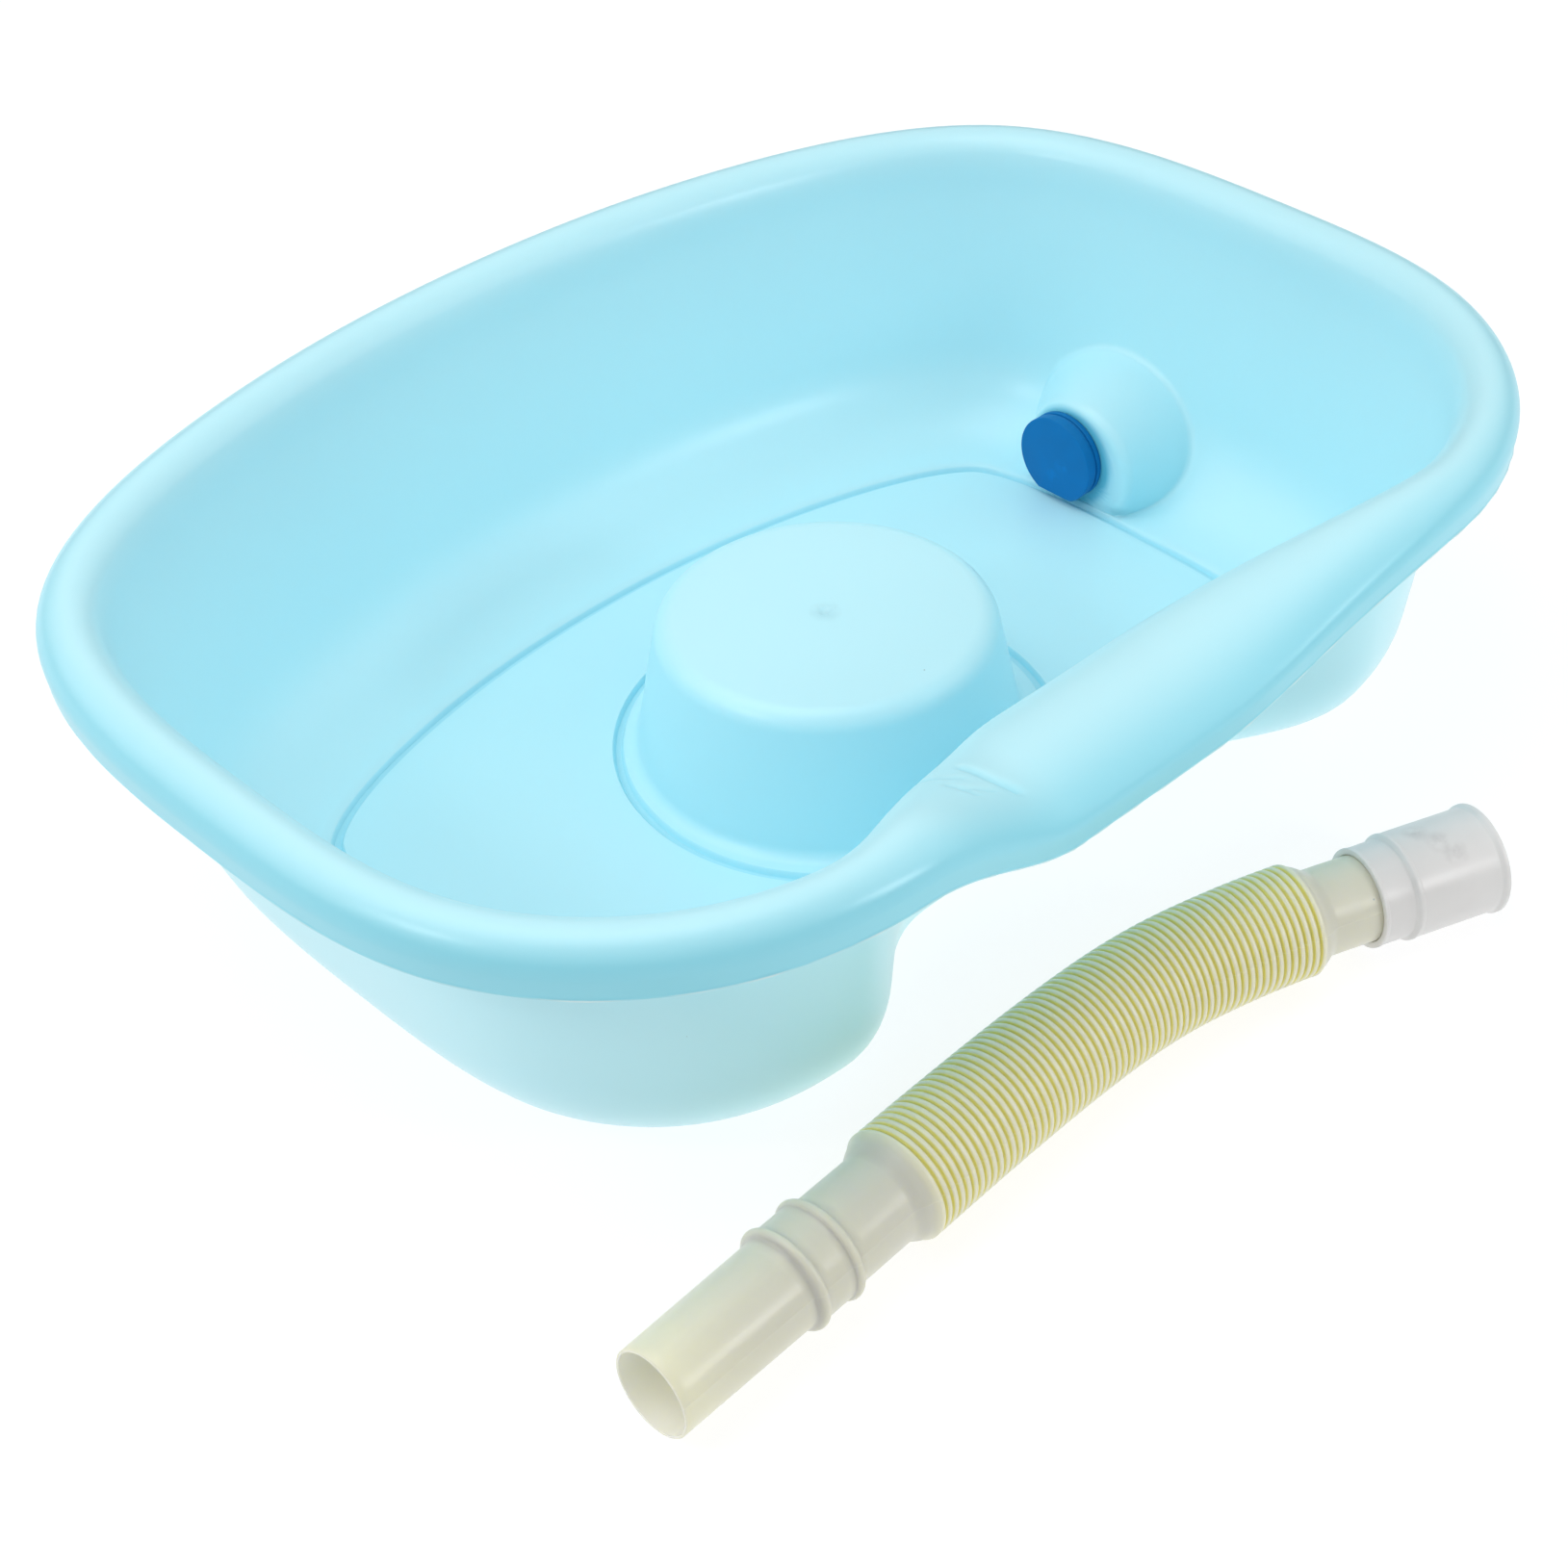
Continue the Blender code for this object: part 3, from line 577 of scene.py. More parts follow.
def offset_profile(points, distance, before=None, after=None):
    """Moves a profile to its dry side by a distance, with mitred corners."""
    chain = ([before] if before else []) + list(points) + ([after] if after else [])
    pts = np.array(chain, dtype=float)
    way = np.diff(pts, axis=0)
    way /= np.linalg.norm(way, axis=1)[:, None]
    dry = np.column_stack([-way[:, 1], way[:, 0]])
    moved = []
    for i in range(len(pts)):
        a = dry[max(i - 1, 0)]
        b = dry[min(i, len(dry) - 1)]
        middle = a + b
        middle /= np.linalg.norm(middle)
        moved.append(pts[i] + middle * distance / max(float(middle @ a), MITRE_LEAST))
    first = 1 if before else 0
    return [tuple(p) for p in moved[first:first + len(points)]]


# Shell profiles, as (outward, z) pairs from the skirt over the lip to the floor


def lip_form(sizes, dip, width):
    """Half width, crown, centre's outward place and height of the lip at a station."""
    half_width = mix(sizes.lip_radius, sizes.neck_rest_width / 2, width)
    crown = mix(sizes.lip_radius, NECK_REST_CROWN, width)
    centre_z = sizes.rim_height - sizes.lip_radius - sizes.neck_dip * dip
    return half_width, crown, sizes.lip_radius - half_width, centre_z


def upper_profile(sizes, facing, shares, lip_steps):
    """Skirt, lip, wall and the wall's foot down to the floor's edge."""
    dip, width, foot_share = shares
    half_width, crown, centre, centre_z = lip_form(sizes, dip, width)
    skirt_low = (sizes.lip_radius - LIP_SKIRT_DRAFT, centre_z - LIP_SKIRT)
    points = [skirt_low] + stretch(skirt_low, (sizes.lip_radius, centre_z), SKIRT_STEPS)
    for k in range(1, lip_steps + 1):
        turn = LIP_END_TURN * k / lip_steps
        points.append((centre + half_width * math.cos(turn), centre_z + crown * math.sin(turn)))
    lip_way = np.array([-half_width * math.sin(LIP_END_TURN), crown * math.cos(LIP_END_TURN)])
    lip_way /= np.linalg.norm(lip_way)
    top = np.array([centre - half_width, centre_z])
    floor_z = FOOT_HEIGHT + sizes.wall
    inset = mix(mix(FLOOR_INSET, LOBE_FLOOR_INSET, facing), NECK_FLOOR_INSET, foot_share)
    radius = mix(WALL_FOOT_RADIUS, NECK_FOOT_RADIUS, foot_share)
    reach = inset + top[0]
    rise = top[1] - floor_z - radius
    sweep = math.pi / 2 - math.acos(radius / math.hypot(reach, rise)) + math.atan2(rise, reach)
    foot = []
    for k in range(FOOT_STEPS + 1):
        turn = sweep * (1 - k / FOOT_STEPS)
        foot.append((radius * math.sin(turn) - inset, floor_z + radius * (1 - math.cos(turn))))
    wall_way = np.array(foot[0]) - top
    wall_way /= np.linalg.norm(wall_way)
    joined = top + wall_way * LIP_JOINT_REACH
    points += smooth_joint(points[-1], lip_way, joined, wall_way, JOINT_STEPS)
    points.append(tuple(joined))
    points += stretch(joined, foot[0], WALL_STEPS)
    return points + foot[1:]


def groove_profile(sizes, edge, depth):
    """Soft groove from its outer to its inner edge, set down by a depth: (s, z) pairs."""
    floor_z = FOOT_HEIGHT + sizes.wall - depth
    half = GROOVE_WIDTH / 2 + GROOVE_SPREAD * depth
    deep = FOOT_HEIGHT if depth else GROOVE_DEPTH
    points = []
    for k in range(GROOVE_STEPS + 1):
        across = 1 - 2 * k / GROOVE_STEPS
        points.append((edge - GROOVE_WIDTH / 2 + half * across,
                       floor_z - deep * ease(abs(across), 1.0, 1.0 - GROOVE_FLANK_SHARE)))
    return points


def pedestal_profile(sizes, depth):
    """Foot, side, rounded edge, top and gate mark: (radius, z) pairs set back by a depth."""
    floor_z = FOOT_HEIGHT + sizes.wall
    rise = sizes.pedestal_height - floor_z
    side = math.atan2(sizes.pedestal_base_radius - sizes.pedestal_top_radius, rise)
    foot_centre = sizes.pedestal_base_radius + PEDESTAL_FOOT
    points = []
    for k in range(PEDESTAL_STEPS + 1):
        turn = (math.pi / 2 - side) * k / PEDESTAL_STEPS
        points.append((foot_centre - PEDESTAL_FOOT * math.sin(turn),
                       floor_z + PEDESTAL_FOOT * (1 - math.cos(turn))))
    edge_centre = sizes.pedestal_top_radius - PEDESTAL_EDGE
    edge = []
    for k in range(PEDESTAL_STEPS + 1):
        turn = side + (math.pi / 2 - side) * k / PEDESTAL_STEPS
        edge.append((edge_centre + PEDESTAL_EDGE * math.cos(turn),
                     sizes.pedestal_height - PEDESTAL_EDGE * (1 - math.sin(turn))))
    points += stretch(points[-1], edge[0], PEDESTAL_SIDE_STEPS) + edge[1:]
    points += [(edge_centre * share, sizes.pedestal_height) for share in PEDESTAL_TOP_SHARES]
    points += [(GATE_RADIUS * out, sizes.pedestal_height - GATE_DEPTH * down) for out, down in GATE_SHAPE]
    before = (points[0][0] + GROOVE_WIDTH, floor_z)
    return offset_profile(points, depth, before=before, after=(0.0, points[-1][1]))


def from_line(point, places):
    """Distance in plan from a point to a line through the given places."""
    nearest = math.inf
    for start, end in zip(places, places[1:]):
        a, b, p = Vector(start), Vector(end), Vector(point)
        share = min(max((p - a).dot(b - a) / (b - a).length_squared, 0.0), 1.0)
        nearest = min(nearest, (p - a - (b - a) * share).length)
    return nearest


def mark_depth(point):
    """How far the sink marks lower the lip at a place in plan."""
    if math.hypot(point[0] - MARK_MIDDLE[0], point[1] - MARK_MIDDLE[1]) > 2 * MARK_SPREAD:
        return 0.0
    return sum(depth * math.exp(-(from_line(point, places) / half_width) ** 2)
               for places, half_width, depth in SINK_MARKS)


def flash_share(point):
    """Height of the mould's flash at a place on the skirt's edge, 0 to 1, highest at the front."""
    x, y = point
    ripple = 0.5 + sum(share * math.sin(x * along + y * across + start)
                       for share, along, across, start in FLASH_RIPPLES)
    return ripple * mix(FLASH_BACK, 1.0, ease(y, 0.0, FLASH_FRONT_Y))


def skirt_edge(corner, share):
    """The skirt's rounded lower corner with its flash, from below to the outer side."""
    s, z = corner
    fin = FLASH_REACH * share
    return [(s + SKIRT_EDGE * out + fin * fin_out, z + SKIRT_EDGE * up + fin * fin_up)
            for out, up, fin_out, fin_up in SKIRT_EDGE_SHAPE]


def lip_shade_share(ring):
    """How strong the painted shade on the lip's outer, lower side is on a ring: full on the skirt, none past
    the crown.
    """
    turn = LIP_END_TURN * (ring + 1 - len(SKIRT_EDGE_SHAPE) - SKIRT_STEPS) / LIP_STEPS
    return ease(turn, LIP_SHADE_END, LIP_SHADE_FULL)


class ShellRings:
    """Rings of places over one side of the shell, and the indices that the drain needs."""

    def __init__(self, sizes, depth):
        self.plan, outward = rim_plan(sizes)
        wet = depth == 0.0
        lip_steps = LIP_STEPS if wet else LIP_DRY_STEPS
        columns = []
        for point, way in zip(self.plan, outward):
            upper = upper_profile(sizes, lobe_share(way), neck_shares(point), lip_steps)
            floor_edge = upper[-1][0]
            moved = offset_profile(upper, depth, after=(floor_edge - GROOVE_WIDTH, upper[-1][1]))
            start = skirt_edge(moved[0], flash_share(point)) if wet else moved[:1]
            profile = start + moved[1:-1] + groove_profile(sizes, floor_edge, depth)
            column = [(point[0] + way[0] * s, point[1] + way[1] * s, z) for s, z in profile]
            if wet:
                column = [(x, y, z - mark_depth((x, y))) if z > SINK_LOWEST else (x, y, z)
                          for x, y, z in column]
            columns.append(column)
        self.foot_end = len(start) + len(moved) - 2
        self.rings = [[column[k] for column in columns] for k in range(len(columns[0]))]
        self.turns = [math.atan2(p[1] - PEDESTAL_Y, p[0]) for p in self.plan]
        pedestal = pedestal_profile(sizes, depth)
        ring = groove_profile(sizes, RING_RADIUS + GROOVE_WIDTH / 2, depth)
        rounds = self.ring_groove(ring, pedestal[0][0]) + self.pedestal_rings(pedestal)
        outer, inner = np.array(self.rings[-1]), np.array(rounds[0])
        for k in range(1, FLOOR_STEPS):
            self.rings.append([tuple(p) for p in outer + (inner - outer) * k / FLOOR_STEPS])
        self.rings += rounds

    def pedestal_rings(self, profile):
        """Rings round the pedestal's axis."""
        return [[(r * math.cos(t), PEDESTAL_Y + r * math.sin(t), z) for t in self.turns] for r, z in profile]

    def ring_groove(self, profile, foot):
        """The groove round the pedestal, a little beside its axis, and moved in where the groove
        round the floor's outline comes close."""
        centre = np.array((RING_SHIFT[0], PEDESTAL_Y + RING_SHIFT[1]))
        inside = np.array(self.rings[-1])[:, :2] - centre
        room = np.interp(self.turns, np.arctan2(inside[:, 1], inside[:, 0]), np.hypot(*inside.T),
                         period=2 * math.pi) - GROOVE_GAP
        far, near = profile[0][0], profile[-1][0]
        rings = [[] for place in profile]
        for turn, end in zip(self.turns, room):
            way = np.array((math.cos(turn), math.sin(turn)))
            outer = min(far, end)
            inner = max(near - far + outer, foot - way.dot(RING_SHIFT) + GROOVE_GAP)
            for ring, (radius, z) in zip(rings, profile):
                x, y = centre + way * mix(inner, outer, (radius - near) / (far - near))
                ring.append((x, y, z))
        return rings

    def window(self):
        """First and last station, and top and bottom ring, of the drain's opening."""
        beside = [i for i, p in enumerate(self.plan)
                  if p[0] > 0 and abs(p[1] - DRAIN_Y) < WINDOW_HALF_WIDTH]
        middle = beside[len(beside) // 2]
        top = next(j for j in range(self.foot_end, 0, -1) if self.rings[j][middle][2] > WINDOW_TOP)
        return beside[0], beside[-1], top, self.foot_end


# Mesh building


def start_ring(bm, places):
    """A circle of vertices moved to the given places."""
    made = bmesh.ops.create_circle(bm, segments=len(places), radius=1.0)
    ring = made["verts"]
    for vert, place in zip(ring, places):
        vert.co = place
    return ring


def ring_edges(bm, ring):
    return [bm.edges.get((ring[i - 1], ring[i])) for i in range(len(ring))]


def extrude_ring(bm, ring, places):
    """Extrudes a ring of edges and moves the new ring to the given places."""
    made = bmesh.ops.extrude_edge_only(bm, edges=ring_edges(bm, ring))
    fresh = {g for g in made["geom"] if isinstance(g, bmesh.types.BMVert)}
    new_ring = []
    for vert, place in zip(ring, places):
        twin = next(e.other_vert(vert) for e in vert.link_edges if e.other_vert(vert) in fresh)
        twin.co = place
        new_ring.append(twin)
    return new_ring


def loft(bm, ring, rows):
    """Extrudes a ring through rows of places and gives all its rings."""
    rings = [ring]
    for places in rows:
        ring = extrude_ring(bm, ring, places)
        rings.append(ring)
    return rings


def cap_ring(bm, ring):
    bmesh.ops.contextual_create(bm, geom=ring_edges(bm, ring))


def finish_piece(name, bm, mat, sharp_angle=40):
    """Puts a finished bmesh into the scene as an object at the origin."""
    bmesh.ops.remove_doubles(bm, verts=bm.verts, dist=WELD)
    bmesh.ops.recalc_face_normals(bm, faces=bm.faces)
    mesh = bpy.data.meshes.new(name)
    bm.to_mesh(mesh)
    bm.free()
    mesh.materials.append(mat)
    mesh.shade_smooth()
    mesh.set_sharp_from_angle(angle=math.radians(sharp_angle))
    obj = bpy.data.objects.new(name, mesh)
    bpy.context.scene.collection.objects.link(obj)
    return obj


# Drain boss: a chain of rings from the wet side through the bore to the dry side


def boss_reach(sizes, turn, x):
    """Distance from the drain's axis to the boss's side, at a turn about the axis and a place
    along it. The side is a leaning cone, so its circles have their own centres."""
    along = x - BOSS_FACE_X - BOSS_EDGE_DEPTH
    centre = Vector((BOSS_CENTRE[0] + BOSS_LEAN[0] * along, BOSS_CENTRE[1] + BOSS_LEAN[1] * along))
    way = Vector((math.cos(turn), math.sin(turn)))
    radius = sizes.boss_side_radius + BOSS_FLARE * along
    return centre.dot(way) + math.sqrt(radius ** 2 - centre.cross(way) ** 2)


def boss_line(sizes, turn, start_radius, depth):
    """Face, rounded edge and side of the boss in one plane through the drain's axis: (x, radius)
    points set back by a depth, and the runs at which the face and the edge end."""
    face_x = BOSS_FACE_X + depth
    edge_x = BOSS_FACE_X + BOSS_EDGE_DEPTH
    edge_reach = boss_reach(sizes, turn, edge_x) - depth
    flat_end = edge_reach - BOSS_EDGE_REACH + depth
    points = [(face_x, start_radius)]
    for k in range(BOSS_SECTION_STEPS[1] + 1):
        swing = math.pi / 2 * k / BOSS_SECTION_STEPS[1]
        points.append((face_x + (edge_x - face_x) * (1 - math.cos(swing)),
                       flat_end + (edge_reach - flat_end) * math.sin(swing)))
    runs = run_lengths(points)
    far_x = SHELL_HIGH.x
    points += [(x, boss_reach(sizes, turn, x) - depth)
               for x in np.linspace(edge_x, far_x, BOSS_SIDE_POINTS)[1:]]
    fine = points_along(points, np.linspace(0.0, run_lengths(points)[-1], BOSS_LINE_POINTS))
    return fine, runs[1], runs[-1]


def wall_line(tree, vert, wet):
    """The wall in the plane through the drain's axis and a vertex: (x, radius) points outwards."""
    y, z = vert.co.y - DRAIN_Y, vert.co.z - DRAIN_Z
    far = math.hypot(y, z)
    start_x = BOSS_FACE_X - WINDOW_TOP if wet else 2 * SHELL_HIGH.x
    way = Vector((1, 0, 0)) if wet else Vector((-1, 0, 0))
    points = []
    for k in range(1, WALL_SAMPLES):
        radius = far * mix(WALL_START, 1.0, math.sin(math.pi / 2 * k / WALL_SAMPLES))
        place = Vector((start_x, DRAIN_Y + y * radius / far, DRAIN_Z + z * radius / far))
        hit = tree.ray_cast(place, way)
        if hit[0] is not None:
            points.append((hit[0].x, radius))
    points.append((vert.co.x, far))
    return np.array(points)


def behind_groove(boss, foot):
    """The boss's line leant back where it would meet the floor in front of the groove's shoulder."""
    past = np.nonzero(boss[:, 1] >= foot[1])[0]
    if len(past) == 0:
        return boss
    back = max(foot[0] - boss[past[0], 0] - FOOT_GAP, 0.0)
    share = np.clip((boss[:, 1] - boss[0, 1]) / (foot[1] - boss[0, 1]), 0.0, 1.0)
    return np.column_stack([boss[:, 0] + back * share ** 2, boss[:, 1]])


def blended_line(boss, wall, fillet):
    """The boss's line up to the wall, a fillet, and the wall's line to its end, with the runs
    at which the fillet starts and ends."""
    far = wall[-1][1]
    wall_x = np.interp(boss[:, 1], wall[:, 1], wall[:, 0])
    past = np.nonzero((boss[:, 0] > wall_x) | (boss[:, 1] >= far))[0]
    meet = max(int(past[0]), 2)
    boss_part = boss[:meet]
    meeting = boss_part[-1]
    wall_part = np.vstack([[meeting], wall[wall[:, 1] > meeting[1] + WELD]])
    boss_run, wall_run = run_lengths(boss_part)[-1], run_lengths(wall_part)[-1]
    reach = min(fillet, FILLET_OF_BOSS * boss_run, FILLET_OF_WALL * wall_run)
    before = points_along(boss_part, np.linspace(0.0, boss_run - reach, BOSS_LINE_POINTS))
    after = points_along(wall_part, np.linspace(reach, wall_run, BOSS_LINE_POINTS))
    turn = np.linspace(0.0, 1.0, WALL_SAMPLES)[1:-1, None]
    bend = before[-1] * (1 - turn) ** 2 + meeting * 2 * turn * (1 - turn) + after[0] * turn ** 2
    line = np.vstack([before, bend, after])
    runs = run_lengths(line)
    return line, runs[len(before) - 1], runs[len(before) + len(bend)]


def boss_rows(sizes, tree, boundary, wet):
    """Rows of places from the bore out to the window's boundary."""
    depth = 0.0 if wet else sizes.wall
    start_radius = PLAIN_BORE + (sizes.wall * BORE_LIP_SHARE if wet else depth)
    fillet = BOSS_FILLET if wet else RECESS_FILLET
    columns = []
    for vert in boundary:
        turn = math.atan2(vert.co.z - DRAIN_Z, vert.co.y - DRAIN_Y)
        boss, flat_end, edge_end = boss_line(sizes, turn, start_radius, depth)
        wall = wall_line(tree, vert, wet)
        if wet:
            boss = behind_groove(boss, wall[-1])
        line, fillet_start, fillet_end = blended_line(boss, wall, fillet)
        stops = [0.0, min(flat_end, FACE_MOST * fillet_start), min(edge_end, EDGE_MOST * fillet_start),
                 fillet_start, fillet_end, run_lengths(line)[-1]]
        for k in range(1, len(stops) - 1):
            stops[k] = max(stops[k], stops[k - 1] + LEAST_SECTION)
        where = [0.0]
        for start, end, steps in zip(stops, stops[1:], BOSS_SECTION_STEPS):
            where += [start + (end - start) * k / steps for k in range(1, steps + 1)]
        columns.append([Vector((x, DRAIN_Y + r * math.cos(turn), DRAIN_Z + r * math.sin(turn)))
                        for x, r in points_along(line, where)])
    rows = [[column[k] for column in columns] for k in range(len(columns[0]))]
    rows[-1] = [vert.co.copy() for vert in boundary]
    return rows


def window_boundary(rings, window):
    """Vertices round the drain's opening, in order."""
    first, last, top, bottom = window
    path = [rings[j][first] for j in range(top, bottom)]
    path += [rings[bottom][i] for i in range(first, last)]
    path += [rings[j][last] for j in range(bottom, top, -1)]
    path += [rings[top][i] for i in range(last, first, -1)]
    return path


def window_faces(rings, window):
    """Faces inside the drain's opening."""
    first, last, top, bottom = window
    inside = set()
    for j in range(top, bottom):
        for i in range(first, last):
            corners = {rings[j][i], rings[j][i + 1], rings[j + 1][i], rings[j + 1][i + 1]}
            inside.update(f for f in rings[j][i].link_faces if set(f.verts) == corners)
    return list(inside)


def drain_circle(turns, x, radius):
    return [Vector((x, DRAIN_Y + radius * math.sin(t), DRAIN_Z + radius * math.cos(t))) for t in turns]


def add_drain(bm, sizes, wet_rings, wet_window, dry_rings, dry_window):
    """Opens both sides of the wall and joins them by the boss, bore, sleeve and recess."""
    tree = BVHTree.FromBMesh(bm)
    wet_edge = window_boundary(wet_rings, wet_window)
    dry_edge = window_boundary(dry_rings, dry_window)
    wet_rows = boss_rows(sizes, tree, wet_edge, True)
    dry_rows = boss_rows(sizes, tree, dry_edge, False)
    faces = window_faces(wet_rings, wet_window) + window_faces(dry_rings, dry_window)
    bmesh.ops.delete(bm, geom=faces, context="FACES")
    turns = [math.atan2(p.y - DRAIN_Y, p.z - DRAIN_Z) for p in wet_rows[0]]
    end = BOSS_FACE_X + SLEEVE_LENGTH
    lip = sizes.wall * BORE_LIP_SHARE
    outside = PLAIN_BORE + sizes.wall
    root = BOSS_FACE_X + sizes.wall
    line = [(BOSS_FACE_X, PLAIN_BORE + lip), (BOSS_FACE_X + lip / 3, PLAIN_BORE + lip / 3)]
    line += [(mix(BOSS_FACE_X + lip, end - lip, k / BORE_STEPS), PLAIN_BORE) for k in range(BORE_STEPS + 1)]
    line += [(end - lip / 3, PLAIN_BORE + lip / 3), (end, PLAIN_BORE + lip)]
    line += [(end, outside - lip), (end - lip, outside)]
    line += [(mix(end - lip, root, k / BORE_STEPS), outside) for k in range(1, BORE_STEPS)]
    rows = wet_rows[-2:0:-1] + [drain_circle(turns, x, radius) for x, radius in line]
    rings = loft(bm, wet_edge, rows + dry_rows)
    low = FOOT_HEIGHT + sizes.wall + FOOT_SOFTENED
    foot = [vert for ring in rings[:SOFT_ROWS] for vert in ring if vert.co.z < low]
    for turn in range(SOFT_TURNS):
        bmesh.ops.smooth_vert(bm, verts=foot, factor=SOFT_SHARE,
                              use_axis_x=True, use_axis_y=True, use_axis_z=True)


# Pieces


def build_shell(sizes):
    """The whole moulded shell as one closed bmesh."""
    wet = ShellRings(sizes, 0.0)
    dry = ShellRings(sizes, sizes.wall)
    bm = bmesh.new()
    flash = bm.verts.layers.float.new("flash")
    hollow = bm.verts.layers.float.new("hollow")
    thick = bm.verts.layers.float.new("thick")
    wet_rings = loft(bm, start_ring(bm, wet.rings[0]), wet.rings[1:])
    cap_ring(bm, wet_rings[-1])
    dry_rings = loft(bm, wet_rings[0], dry.rings)[1:]
    cap_ring(bm, dry_rings[-1])
    # The flash is painted paler, partly for its thin plastic and partly as a painted highlight along the
    # skirt's edge
    for ring in wet_rings[FLASH_RINGS]:
        for vert, point in zip(ring, wet.plan):
            vert[flash] = flash_share(point)
    # Painted shade on the lip's outer, lower side, where the light from above falls least
    for number, ring in enumerate(wet_rings):
        for vert in ring:
            vert[thick] = lip_shade_share(number)
    # Painted shade in the grooves below the floor and in the sink marks on the neck rest
    floor_z = FOOT_HEIGHT + sizes.wall
    for vert in (vert for ring in wet_rings for vert in ring):
        sunk = max(floor_z - vert.co.z, 0.0) / GROOVE_DEPTH
        marked = mark_depth(vert.co.xy) / SINK_MARKS[0][2] if vert.co.z > SINK_LOWEST else 0.0
        vert[hollow] = min(sunk + marked, 1.0)
    add_drain(bm, sizes, wet_rings, wet.window(), dry_rings, dry.window())
    shade = bm.verts.layers.float.new("shade")
    for vert in bm.verts:
        if abs(vert.co.x - BOSS_FACE_X) < SHADE_DEPTH:
            away = math.hypot(vert.co.y - DRAIN_Y - SHADE_SHIFT[0], vert.co.z - DRAIN_Z - SHADE_SHIFT[1])
            vert[shade] = ease(away, SHADE_END, SHADE_FULL)
    return bm


def plug_line(sizes, seat):
    """From the wet face to the stem's end: (x, radius) pairs with rounded corners."""
    flange = seat - PLUG_FLANGE_THICKNESS
    groove = flange - PLUG_GROOVE_WIDTH
    front = groove - PLUG_FRONT_THICKNESS
    stem = PLAIN_BORE - MESH_GAP
    return [
        (front, 0.0),
        (front, sizes.front_radius),
        (groove, sizes.front_radius - PLUG_EDGE / 3),
        (groove, PLUG_GROOVE_RADIUS),
        (flange, PLUG_GROOVE_RADIUS),
        (flange, PLUG_FLANGE_RADIUS),
        (seat, PLUG_FLANGE_RADIUS),
        (seat, stem),
        (seat + PLUG_STEM_LENGTH, stem - PLUG_EDGE / 2),
        (seat + PLUG_STEM_LENGTH, 0.0),
    ]


def turn_about_x(bm, line, sides):
    """Spins a line of (x, radius) pairs about the X axis."""
    verts = [bm.verts.new((x, 0.0, radius)) for x, radius in line]
    edges = [bm.edges.new(pair) for pair in zip(verts, verts[1:])]
    bmesh.ops.spin(bm, geom=verts + edges, cent=(0, 0, 0), axis=(1, 0, 0),
                   angle=2 * math.pi, steps=sides, use_merge=True)
    bmesh.ops.remove_doubles(bm, verts=bm.verts, dist=WELD)


def build_plug(sizes):
    """Turned stopper with a flat on its discs."""
    bm = bmesh.new()
    turn_about_x(bm, rounded(plug_line(sizes, -MESH_GAP), PLUG_EDGE), PLUG_SIDES)
    cut = bmesh.ops.bisect_plane(bm, geom=bm.verts[:] + bm.edges[:] + bm.faces[:], dist=WELD / 10,
                                 plane_co=(0, 0, -sizes.flat_drop), plane_no=(0, 0, -1), clear_outer=True)
    edges = [g for g in cut["geom_cut"] if isinstance(g, bmesh.types.BMEdge)]
    bmesh.ops.holes_fill(bm, edges=edges, sides=0)
    bmesh.ops.translate(bm, verts=bm.verts, vec=(BOSS_FACE_X, DRAIN_Y, DRAIN_Z))
    return bm


def bead(centre, low, high, width, steps):
    """A rounded bead on a hose: (distance, radius) pairs."""
    return [(centre - width / 2 + width * k / steps,
             low + (high - low) * math.sin(math.pi * k / steps) ** BEAD_FULLNESS) for k in range(steps + 1)]


def slope(start, end, first, last):
    """A smooth change of radius from the first to the last between two distances."""
    return [(mix(start, end, k / SHOULDER_STEPS), mix(last, first, ease(k / SHOULDER_STEPS, 1.0, 0.0)))
            for k in range(SHOULDER_STEPS + 1)]


